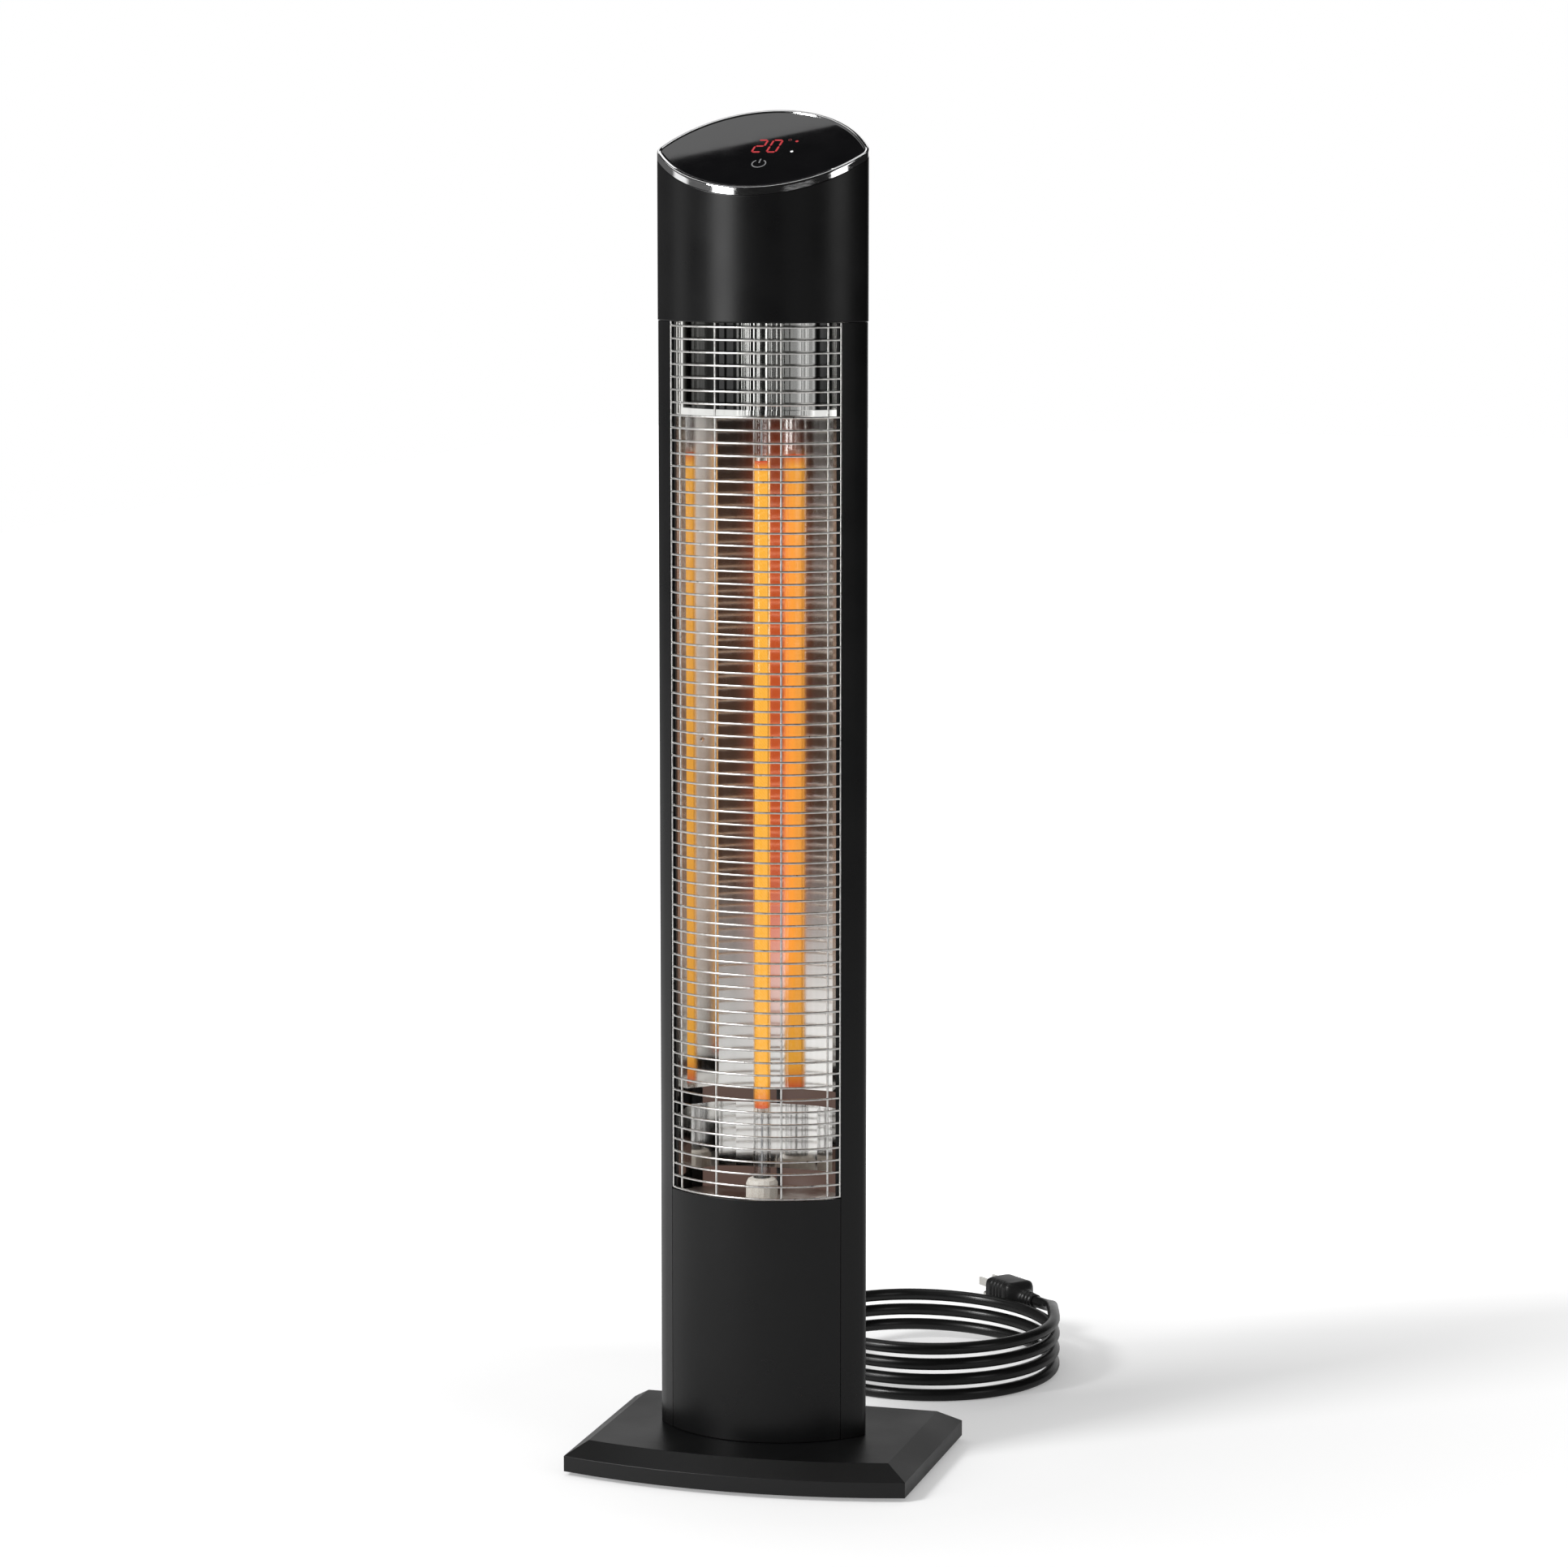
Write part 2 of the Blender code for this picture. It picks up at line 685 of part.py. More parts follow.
def make_column_bracket():
    """A cup inside the foot of the column, bolted down through the base cover."""
    outer = lens_outline(TONGUE_BACK + SEAT_GAP)
    inner = lens_outline(TONGUE_BACK + SEAT_GAP + BRACKET_CUP_WALL)
    floor = COLUMN_BOTTOM + BRACKET_CUP_FLOOR
    rim = COLUMN_BOTTOM + BRACKET_CUP_HEIGHT
    rings = [
        at_height(outer, COLUMN_BOTTOM),
        at_height(outer, rim),
        at_height(inner, rim),
        at_height(inner, floor),
    ]
    cup = loft("column_bracket", rings, zinc_steel())
    through = BRACKET_CUP_FLOOR + 2 * CUT_OVERRUN
    middle = (COLUMN_BOTTOM + floor) / 2
    for side in (-1, 1):
        name = "bracket_bolt_hole_left" if side < 0 else "bracket_bolt_hole_right"
        drill(cup, name, BOLT_RADIUS + SEAT_GAP, (side * BOLT_X, BODY_Y, middle), through)
    drill(cup, "bracket_cable_hole", CABLE_HOLE_RADIUS, (0, BODY_Y, middle), through)


def make_column_bolts():
    """Two bolts, heads under the base cover, shanks up through the bracket's floor."""
    head_top = BASE_TOP - BASE_WALL - SEAT_GAP
    shank_top = COLUMN_BOTTOM + BRACKET_CUP_FLOOR + BOLT_RADIUS
    rise = shank_top - head_top
    profile = [
        (0, rise),
        (BOLT_RADIUS, rise),
        (BOLT_RADIUS, 0),
        (BOLT_HEAD_RADIUS, 0),
        (BOLT_HEAD_RADIUS, -BOLT_HEAD_HEIGHT),
        (0, -BOLT_HEAD_HEIGHT),
    ]
    turned("column_bolt_left", profile, zinc_steel(), (-BOLT_X, BODY_Y, head_top))
    turned("column_bolt_right", profile, zinc_steel(), (BOLT_X, BODY_Y, head_top))


def make_tip_switch():
    """A body with a bore, the plunger that stands on the ground, and the spring above it."""
    bottom = PLATE_TOP + SEAT_GAP
    middle = bottom + TIP_HEIGHT / 2
    body = block(
        "tip_switch_body", (TIP_WIDTH, TIP_DEPTH, TIP_HEIGHT), (TIP_X, TIP_Y, middle), matte_black()
    )
    chamber_bottom = bottom + TIP_FLOOR
    chamber_top = bottom + TIP_HEIGHT - TIP_ROOF
    chamber = chamber_top - chamber_bottom
    bore = PLUNGER_HEAD_RADIUS + SEAT_GAP
    drill(body, "tip_chamber", bore, (TIP_X, TIP_Y, chamber_bottom + chamber / 2), chamber)
    slot = TIP_FLOOR + 2 * CUT_OVERRUN
    drill(body, "tip_bore", PLUNGER_RADIUS + SEAT_GAP, (TIP_X, TIP_Y, chamber_bottom), slot)
    collar = chamber_bottom + SEAT_GAP + PLUNGER_TRAVEL
    rise = collar - PLUNGER_LIFT
    head = rise + PLUNGER_HEAD_HEIGHT
    profile = [
        (0, head),
        (PLUNGER_HEAD_RADIUS, head),
        (PLUNGER_HEAD_RADIUS, rise),
        (PLUNGER_RADIUS, rise),
        (PLUNGER_RADIUS, 0),
        (0, 0),
    ]
    turned("tip_plunger", profile, matte_black(), (TIP_X, TIP_Y, PLUNGER_LIFT))
    low = PLUNGER_LIFT + head + SEAT_GAP + TIP_SPRING_WIRE
    high = chamber_top - SEAT_GAP - TIP_SPRING_WIRE
    steps = TIP_SPRING_TURNS * 8
    points = []
    for i, z in enumerate(spread(low, high, steps)):
        turn = math.tau * i / 8
        points.append(
            (
                TIP_X + TIP_SPRING_RADIUS * math.cos(turn),
                TIP_Y + TIP_SPRING_RADIUS * math.sin(turn),
                z,
            )
        )
    tube("tip_spring", points, TIP_SPRING_WIRE, 0, zinc_steel())


def rail_outline():
    """The right-hand rail: outer wall, and a tongue at each edge behind its neighbours."""
    outer = lens_path(RAIL_FRONT_X, RAIL_BACK_X, 0)
    inner_front = RAIL_FRONT_X + TONGUE_LAND
    inner_back = RAIL_BACK_X + TONGUE_LAND
    tip_front = RAIL_FRONT_X - TONGUE_LENGTH
    tip_back = RAIL_BACK_X - TONGUE_LENGTH
    back_tongue = [
        (RAIL_BACK_X, back_y(RAIL_BACK_X, TONGUE_FRONT)),
        (tip_back, back_y(tip_back, TONGUE_FRONT)),
        (tip_back, back_y(tip_back, TONGUE_BACK)),
        (inner_back, back_y(inner_back, TONGUE_BACK)),
    ]
    front_tongue = [
        (inner_front, front_y(inner_front, TONGUE_BACK)),
        (tip_front, front_y(tip_front, TONGUE_BACK)),
        (tip_front, front_y(tip_front, TONGUE_FRONT)),
        (RAIL_FRONT_X, front_y(RAIL_FRONT_X, TONGUE_FRONT)),
    ]
    inner = lens_path(inner_front, inner_back, RAIL_WALL)
    return outer + back_tongue + list(reversed(inner)) + front_tongue


def make_rails():
    right = rail_outline()
    rails = [
        prism("right_rail", right, COLUMN_BOTTOM, COLUMN_TOP, satin_black()),
        prism("left_rail", mirrored(right), COLUMN_BOTTOM, COLUMN_TOP, satin_black()),
    ]
    for rail, side in zip(rails, (1, -1)):
        for level, z in screw_heights().items():
            drill_screw_hole(rail, f"{rail.name}_screw_hole_{level}", side, z)


def screw_heights():
    return {"low": COLUMN_BOTTOM + SCREW_LOW_LIFT, "high": COLUMN_TOP - SCREW_HIGH_DROP}


def screw_turn(side):
    """Rotation that sends Z along the back wall's normal at the screw."""
    return (-math.pi / 2, 0, -side * math.asin(SCREW_X / BACK_RADIUS))


def drill_screw_hole(target, name, side, z):
    centre = (side * SCREW_X, back_y(SCREW_X), z)
    reach = 2 * (TONGUE_BACK + CUT_OVERRUN)
    drill(target, name, SCREW_RADIUS + SEAT_GAP, centre, reach, screw_turn(side))


def make_rear_screws():
    profile = [
        (0, SEAT_GAP + SCREW_HEAD_HEIGHT),
        (SCREW_HEAD_RADIUS / 2, SEAT_GAP + SCREW_HEAD_HEIGHT),
        (SCREW_HEAD_RADIUS, SEAT_GAP + SCREW_HEAD_HEIGHT / 2),
        (SCREW_HEAD_RADIUS, SEAT_GAP),
        (SCREW_RADIUS, SEAT_GAP),
        (SCREW_RADIUS, -TONGUE_BACK),
        (0, -TONGUE_BACK),
    ]
    for side in (-1, 1):
        for level, z in screw_heights().items():
            name = f"rear_screw_{'left' if side < 0 else 'right'}_{level}"
            made = turned(name, profile, zinc_steel(), (side * SCREW_X, back_y(SCREW_X), z))
            made.rotation_euler = screw_turn(side)


def make_rear_housing():
    outline = back_strip(RAIL_BACK_X - SEAT_GAP, 0, HOUSING_WALL, 2 * ARC_STEPS)
    housing = prism("rear_housing", outline, COLUMN_BOTTOM, COLUMN_TOP, satin_black())
    for side in (-1, 1):
        for level, z in screw_heights().items():
            name = f"housing_screw_hole_{'left' if side < 0 else 'right'}_{level}"
            drill_screw_hole(housing, name, side, z)
    switch_hole = (
        SWITCH_WIDTH + 2 * SEAT_GAP,
        2 * (HOUSING_WALL + CUT_OVERRUN),
        SWITCH_HEIGHT + 2 * SEAT_GAP,
    )
    cut(
        housing, block("housing_switch_hole", switch_hole, (0, back_y(0), SWITCH_Z), matte_black())
    )
    length = 2 * (HOUSING_WALL + BOOT_RADIUS + CUT_OVERRUN) / math.cos(EXIT_TILT)
    centre = (0, back_y(0, HOUSING_WALL / 2), EXIT_Z)
    drill(housing, "housing_cord_hole", BOOT_RADIUS + SEAT_GAP, centre, length, exit_turn())


def make_lower_front_panel():
    outline = front_strip(RAIL_FRONT_X - SEAT_GAP, PANEL_WALL, 0, 2 * ARC_STEPS)
    prism("lower_front_panel", outline, COLUMN_BOTTOM, PANEL_TOP, satin_black())


def reflector_points():
    """The folded sheet's inner face, from the right edge round the back to the left edge."""
    fold_y = back_y(REFLECTOR_FOLD_X, HOUSING_WALL + SEAT_GAP + SHEET)
    side_y = back_y(REFLECTOR_SIDE_X, TONGUE_BACK + SEAT_GAP + SHEET)
    edge_y = front_y(REFLECTOR_EDGE_X + SHEET, TONGUE_BACK + SEAT_GAP)
    bow = [
        (x, REFLECTOR_VERTEX_Y - REFLECTOR_RADIUS + math.sqrt(REFLECTOR_RADIUS**2 - x**2))
        for x in spread(REFLECTOR_CENTRE_HALF, -REFLECTOR_CENTRE_HALF, 6)
    ]
    right = [
        (REFLECTOR_EDGE_X, edge_y),
        (REFLECTOR_SIDE_X, side_y),
        (REFLECTOR_FOLD_X, fold_y),
    ]
    return right + bow + [(-x, y) for x, y in reversed(right)]


def sheet_outline(points, thickness):
    """A bent sheet in plan: the given face, and the same face moved outwards to its right."""
    outer = []
    for i, point in enumerate(points):
        before = Vector(points[max(i - 1, 0)])
        here = Vector(point)
        after = Vector(points[min(i + 1, len(points) - 1)])
        one = (here - before).normalized() if i else (after - here).normalized()
        two = (after - here).normalized() if i < len(points) - 1 else one
        normal = Vector((one.y + two.y, -one.x - two.x)).normalized()
        stretch = 1 / max(normal.dot(Vector((one.y, -one.x))), 0.5)
        moved = here + normal * (thickness * stretch)
        outer.append((moved.x, moved.y))
    return list(points) + list(reversed(outer))


def make_reflectors():
    outline = sheet_outline(reflector_points(), SHEET)
    lower_top = LOWER_REFLECTOR_BOTTOM + LOWER_REFLECTOR_HEIGHT
    prism("reflector", outline, REFLECTOR_BOTTOM, REFLECTOR_TOP, polished_steel())
    prism("lower_reflector", outline, LOWER_REFLECTOR_BOTTOM, lower_top, polished_steel())


def make_rivets():
    """A rivet in the middle of each of the reflector's slanted side faces."""
    fold = Vector((REFLECTOR_FOLD_X, back_y(REFLECTOR_FOLD_X, HOUSING_WALL + SEAT_GAP + SHEET)))
    side = Vector((REFLECTOR_SIDE_X, back_y(REFLECTOR_SIDE_X, TONGUE_BACK + SEAT_GAP + SHEET)))
    slope = (fold - side).normalized()
    inwards = Vector((-slope.y, slope.x))
    place = (fold + side) / 2 + inwards * SEAT_GAP
    profile = [
        (0, RIVET_HEIGHT),
        (RIVET_RADIUS / 2, RIVET_HEIGHT),
        (RIVET_RADIUS, RIVET_HEIGHT / 2),
        (RIVET_RADIUS, 0),
        (0, 0),
    ]
    turn = math.atan2(inwards.x, -inwards.y)
    for name, sign in (("reflector_rivet_left", -1), ("reflector_rivet_right", 1)):
        spot = (sign * place.x, place.y, RIVET_Z)
        made = turned(name, profile, polished_steel(), spot, SMALL_STEPS)
        made.rotation_euler = (math.pi / 2, 0, sign * turn)


def make_chamber_floor():
    outline = lens_outline(TONGUE_BACK + SEAT_GAP)
    floor = prism("chamber_floor", outline, FLOOR_BOTTOM, FLOOR_TOP, polished_steel(), False)
    middle = (FLOOR_BOTTOM + FLOOR_TOP) / 2
    height = FLOOR_THICKNESS + 2 * CUT_OVERRUN
    drill(floor, "floor_stem_hole", STEM_RADIUS + SEAT_GAP, (TUBE_X, TUBE_Y, middle), height)
    cut(floor, loom_notch("floor_loom_notch", middle, height))


def loom_notch(name, middle, height):
    """The cut that lets the loom pass behind a plate."""
    front = LOOM_Y - LOOM_RADIUS - LOOM_NOTCH
    depth = back_y(0) - front
    size = (2 * (LOOM_RADIUS + LOOM_NOTCH), depth, height)
    return block(name, size, (0, front + depth / 2, middle), matte_black())


def make_upper_cover():
    """A faceted curtain in front of the tube's upper end, with a proud lip and a flange."""
    half = REFLECTOR_EDGE_X - SEAT_GAP
    span = spread(-half, half, COVER_FACETS)

    def ring(z, proud, depth):
        near = [(x, front_y(x, COVER_INSET) - proud, z) for x in span]
        far = [(x, front_y(x, COVER_INSET) + depth, z) for x in reversed(span)]
        return near + far

    lip_top = COVER_BOTTOM + COVER_LIP_HEIGHT
    flange_top = COVER_BOTTOM + SHEET
    rings = [
        ring(COVER_BOTTOM, COVER_LIP_PROUD, COVER_FLANGE),
        ring(flange_top, COVER_LIP_PROUD, COVER_FLANGE),
        ring(flange_top + COVER_STEP, COVER_LIP_PROUD, SHEET),
        ring(lip_top, COVER_LIP_PROUD, SHEET),
        ring(lip_top + COVER_STEP, 0, SHEET),
        ring(COVER_BOTTOM + COVER_HEIGHT, 0, SHEET),
    ]
    loft("upper_reflector_cover", rings, polished_steel(), smooth=False)


def cap_profile(up):
    """A ceramic cap with a socket for the tube; up is 1 with the socket on top, else -1."""
    socket = TUBE_RADIUS + SEAT_GAP
    heights = [
        (socket, CAP_HEIGHT),
        (CAP_RADIUS - CAP_ROUND, CAP_HEIGHT),
        (CAP_RADIUS - CAP_ROUND / 3, CAP_HEIGHT - CAP_ROUND / 3),
        (CAP_RADIUS, CAP_HEIGHT - CAP_ROUND),
        (CAP_RADIUS, 0),
    ]
    if up > 0:
        heights += [(STEM_RADIUS, 0), (STEM_RADIUS, -STEM_LENGTH), (STEM_BORE, -STEM_LENGTH)]
    else:
        heights += [(STEM_BORE, 0)]
    heights += [(STEM_BORE, CAP_HEIGHT - SOCKET_DEPTH), (socket, CAP_HEIGHT - SOCKET_DEPTH)]
    return [(radius, up * height) for radius, height in heights]


def make_heating_tube():
    inner = TUBE_RADIUS - TUBE_WALL
    length = TUBE_TOP - TUBE_BOTTOM
    glass = [(TUBE_RADIUS, length), (TUBE_RADIUS, 0), (inner, 0), (inner, length)]
    turned("quartz_tube", glass, quartz(), (TUBE_X, TUBE_Y, TUBE_BOTTOM), hollow=True)
    glow = ELEMENT_TOP - ELEMENT_BOTTOM
    rod = [(0, glow), (ELEMENT_RADIUS, glow), (ELEMENT_RADIUS, 0), (0, 0)]
    turned("carbon_element", rod, glowing_carbon(), (TUBE_X, TUBE_Y, ELEMENT_BOTTOM))
    lower = cap_profile(1)
    upper = cap_profile(-1)
    turned(
        "lower_tube_cap", lower, ceramic(), (TUBE_X, TUBE_Y, LOWER_CAP_BOTTOM), hollow=True
    )
    turned("upper_tube_cap", upper, ceramic(), (TUBE_X, TUBE_Y, UPPER_CAP_TOP), hollow=True)
    make_lead("lower_lead", ELEMENT_BOTTOM - SEAT_GAP, LOWER_CAP_BOTTOM - STEM_LENGTH, -1)
    make_lead("upper_lead", ELEMENT_TOP + SEAT_GAP, UPPER_CAP_TOP, 1)


def make_lead(name, near, far, up):
    """The rod that joins one end of the element to its cap, with the clamp on the element."""
    length = abs(far - near)
    profile = [
        (0, 0),
        (CLAMP_RADIUS, 0),
        (CLAMP_RADIUS, up * CLAMP_HEIGHT),
        (LEAD_RADIUS, up * CLAMP_HEIGHT),
        (LEAD_RADIUS, up * length),
        (0, up * length),
    ]
    turned(name, profile, zinc_steel(), (TUBE_X, TUBE_Y, near), steps=SMALL_STEPS)


def make_tube_holders():
    """The clip under the chamber floor, and the bracket that holds the upper cap."""
    clip_top = FLOOR_BOTTOM - SEAT_GAP
    clip = [
        (CLIP_RADIUS, 0),
        (CLIP_RADIUS, -CLIP_THICKNESS),
        (STEM_RADIUS + SEAT_GAP, -CLIP_THICKNESS),
        (STEM_RADIUS + SEAT_GAP, 0),
    ]
    turned("lower_tube_clip", clip, zinc_steel(), (TUBE_X, TUBE_Y, clip_top), hollow=True)
    sag = REFLECTOR_RADIUS - math.sqrt(REFLECTOR_RADIUS**2 - BRACKET_HALF**2)
    back = REFLECTOR_VERTEX_Y - sag - SEAT_GAP
    front = TUBE_Y - BRACKET_HALF
    bottom = UPPER_CAP_TOP + SEAT_GAP
    side = [
        (front, bottom),
        (back, bottom),
        (back, bottom + BRACKET_RISE),
        (back - BRACKET_THICKNESS, bottom + BRACKET_RISE),
        (back - BRACKET_THICKNESS, bottom + BRACKET_THICKNESS),
        (front, bottom + BRACKET_THICKNESS),
    ]
    rings = [[(x, y, z) for y, z in side] for x in (-BRACKET_HALF, BRACKET_HALF)]
    loft("upper_tube_bracket", rings, zinc_steel(), smooth=False)


def guard_rows():
    """Heights of the level wires, spaced evenly between the panel and the head."""
    low = PANEL_TOP + SEAT_GAP + WIRE / 2
    high = COLUMN_TOP - GUARD_TOP_MARGIN - WIRE / 2
    return spread(low, high, round((high - low) / WIRE_PITCH))


def guard_stations():
    """Where a level wire has a ring of corners, and whether the stretch before it is a joint."""
    half = WIRE / 2
    insets = (UPRIGHT_EDGE_INSET, UPRIGHT_SIDE_INSET, UPRIGHT_MIDDLE_INSET)
    uprights = [RAIL_FRONT_X - inset for inset in insets]
    centres = [-x for x in uprights] + list(reversed(uprights))
    splits = [1, 2, 3, 2, 1]
    stations = [(centres[0] - half, False)]
    for centre, split, following in zip(centres, splits, centres[1:]):
        stations.append((centre + half, True))
        stretch = spread(centre + half, following - half, split)
        stations += [(x, False) for x in stretch[1:]]
    stations.append((centres[-1] + half, True))
    return stations


def guard_ring(x, bottom, top):
    near = front_y(x, WIRE_INSET - WIRE / 2)
    far = front_y(x, WIRE_INSET + WIRE / 2)
    return [(x, near, bottom), (x, far, bottom), (x, far, top), (x, near, top)]


def make_guard():
    """One welded grid: level wires bent to the body's front arc, joined by six uprights."""
    bm = bmesh.new()
    stations = guard_stations()
    rows = []
    for z in guard_rows():
        rings = [guard_ring(x, z - WIRE / 2, z + WIRE / 2) for x, _ in stations]
        rows.append([[bm.verts.new(corner) for corner in ring] for ring in rings])
    last = len(rows) - 1
    for r, rings in enumerate(rows):
        bm.faces.new(rings[0])
        bm.faces.new(rings[-1])
        for i in range(1, len(rings)):
            left = rings[i - 1]
            right = rings[i]
            joint = stations[i][1]
            for k in range(4):
                below = k == 0 and r > 0
                above = k == 2
                if joint and (below or above):
                    continue
                j = (k + 1) % 4
                bm.faces.new((left[k], left[j], right[j], right[k]))
            if not joint:
                continue
            low = [left[3], left[2], right[2], right[3]]
            if r < last:
                over_left = rows[r + 1][i - 1]
                over_right = rows[r + 1][i]
                high = [over_left[0], over_left[1], over_right[1], over_right[0]]
            else:
                high = [bm.verts.new((corner.co.x, corner.co.y, COLUMN_TOP)) for corner in low]
                bm.faces.new(high)
            for k in range(4):
                j = (k + 1) % 4
                bm.faces.new((low[k], low[j], high[j], high[k]))
    from_bmesh("guard", bm, plated_wire(), smooth=False)


def make_power_parts():
    """The board on the rear wall, with its relay and its terminals."""
    back = back_y(POWER_BOARD_HALF, HOUSING_WALL + SEAT_GAP)
    middle_z = POWER_BOARD_Z + POWER_BOARD_HEIGHT / 2
    block(
        "power_board",
        (2 * POWER_BOARD_HALF, BOARD_THICKNESS, POWER_BOARD_HEIGHT),
        (0, back - BOARD_THICKNESS / 2, middle_z),
        green_board(),
    )
    front = back - BOARD_THICKNESS - SEAT_GAP
    block(
        "power_relay",
        (RELAY_WIDTH, RELAY_DEPTH, RELAY_HEIGHT),
        (RELAY_WIDTH / 2 + SEAT_GAP, front - RELAY_DEPTH / 2, middle_z),
        matte_black(),
        SEAT_GAP,
    )
    block(
        "terminal_block",
        (TERMINAL_WIDTH, TERMINAL_DEPTH, TERMINAL_HEIGHT),
        (
            -TERMINAL_WIDTH / 2 - SEAT_GAP,
            front - TERMINAL_DEPTH / 2,
            POWER_BOARD_Z + TERMINAL_LIFT + TERMINAL_HEIGHT / 2,
        ),
        ceramic(),
        SEAT_GAP,
    )


def make_loom():
    """The wires from the power board up the back wall, then forward to the control board."""
    end_y = BODY_Y + CONTROL_BOARD_DEPTH / 2 - 2 * LOOM_RADIUS
    end_z = slant_height(end_y, BOARD_TOP_DROP + BOARD_THICKNESS) - SEAT_GAP / math.cos(HEAD_TILT)
    bend = LOOM_Y - end_y
    straight_end = end_z - 3 * bend
    points = [(0, LOOM_Y, LOOM_START_Z), (0, LOOM_Y, straight_end)]
    for share in spread(0, 1, 8)[1:]:
        ease = share * share * (3 - 2 * share)
        points.append((0, LOOM_Y - bend * ease, straight_end + (end_z - straight_end) * share))
    last = points[-1]
    points[-1] = (last[0], last[1], last[2] - LOOM_RADIUS * math.tan(HEAD_TILT))
    tube("wiring_loom", points, LOOM_RADIUS, 2, matte_black())


def make_supply_lead():
    """The cord's inner end, from the boot up past the switch to the terminals."""
    wall_y = back_y(0, HOUSING_WALL / 2)
    inner = BOOT_INNER_LENGTH + SEAT_GAP
    start = Vector((0, wall_y - inner * math.cos(EXIT_TILT), EXIT_Z + inner * math.sin(EXIT_TILT)))
    board_back = back_y(POWER_BOARD_HALF, HOUSING_WALL + SEAT_GAP)
    front = board_back - BOARD_THICKNESS - SEAT_GAP - TERMINAL_DEPTH / 2
    switch_face = back_y(0) + SEAT_GAP + SWITCH_FLANGE_THICKNESS - SWITCH_DEPTH
    past_switch = switch_face - SUPPLY_RADIUS - 2 * SEAT_GAP
    end_x = -TERMINAL_WIDTH / 2 - SEAT_GAP
    end_z = POWER_BOARD_Z + TERMINAL_LIFT - SEAT_GAP
    below_switch = SWITCH_Z - SWITCH_HEIGHT / 2
    route = [
        start + Vector((0, -SUPPLY_RADIUS, SUPPLY_RADIUS)),
        Vector((end_x / 4, past_switch, below_switch)),
        Vector((end_x / 2, past_switch - SUPPLY_RADIUS, SWITCH_Z)),
        Vector((end_x, front - SUPPLY_RADIUS / 2, end_z - 3 * SUPPLY_RADIUS)),
        Vector((end_x, front, end_z - 2 * SUPPLY_RADIUS)),
    ]
    points = [start, *smooth_route(route, 2 * SUPPLY_RADIUS), Vector((end_x, front, end_z))]
    tube("supply_lead", points, SUPPLY_RADIUS, 2, rubber_black())


def make_rocker_switch():
    """A frame let into the rear wall and the rocker that turns in it."""
    wall = back_y(0)
    flange_back = wall + SEAT_GAP
    face = flange_back + SWITCH_FLANGE_THICKNESS
    body_depth = SWITCH_DEPTH
    body = block(
        "switch_frame",
        (SWITCH_WIDTH, body_depth, SWITCH_HEIGHT),
        (0, face - body_depth / 2, SWITCH_Z),
        matte_black(),
    )
    flange = block(
        "switch_flange",
        (
            SWITCH_WIDTH + 2 * SWITCH_FLANGE,
            SWITCH_FLANGE_THICKNESS,
            SWITCH_HEIGHT + 2 * SWITCH_FLANGE,
        ),
        (0, face - SWITCH_FLANGE_THICKNESS / 2, SWITCH_Z),
        matte_black(),
    )
    flange.hide_render = True
    flange.display_type = "WIRE"
    joined = body.modifiers.new("flange", "BOOLEAN")
    joined.operation = "UNION"
    joined.solver = "EXACT"
    joined.object = flange
    pivot_y = face - ROCKER_PIVOT_DEPTH
    well_depth = ROCKER_PIVOT_DEPTH + ROCKER_RADIUS + SEAT_GAP
    well = block(
        "switch_well",
        (
            ROCKER_WIDTH + 2 * SEAT_GAP,
            well_depth + CUT_OVERRUN,
            2 * (ROCKER_RADIUS + 2 * SEAT_GAP),
        ),
        (0, face - well_depth + (well_depth + CUT_OVERRUN) / 2, SWITCH_Z),
        matte_black(),
    )
    cut(body, well)
    tip = math.asin(ROCKER_PROUD / ROCKER_RADIUS)
    back = math.asin(ROCKER_BACK / ROCKER_RADIUS)
    top_edge = arc(0, 0, ROCKER_RADIUS, tip, -back, 4)
    outline = [(-y, z) for z, y in top_edge] + [(-y, -z) for z, y in reversed(top_edge)]
    outline.append((ROCKER_PIVOT_DEPTH - ROCKER_PROUD / 2, 0))
    rings = [
        [(x, -y, z) for y, z in outline] for x in (-ROCKER_WIDTH / 2, ROCKER_WIDTH / 2)
    ]
    rocker = loft("power_rocker", rings, matte_black(), smooth=False)
    rocker.location = (0, pivot_y, SWITCH_Z)
    rocker.rotation_euler = (-ROCKER_TILT, 0, 0)


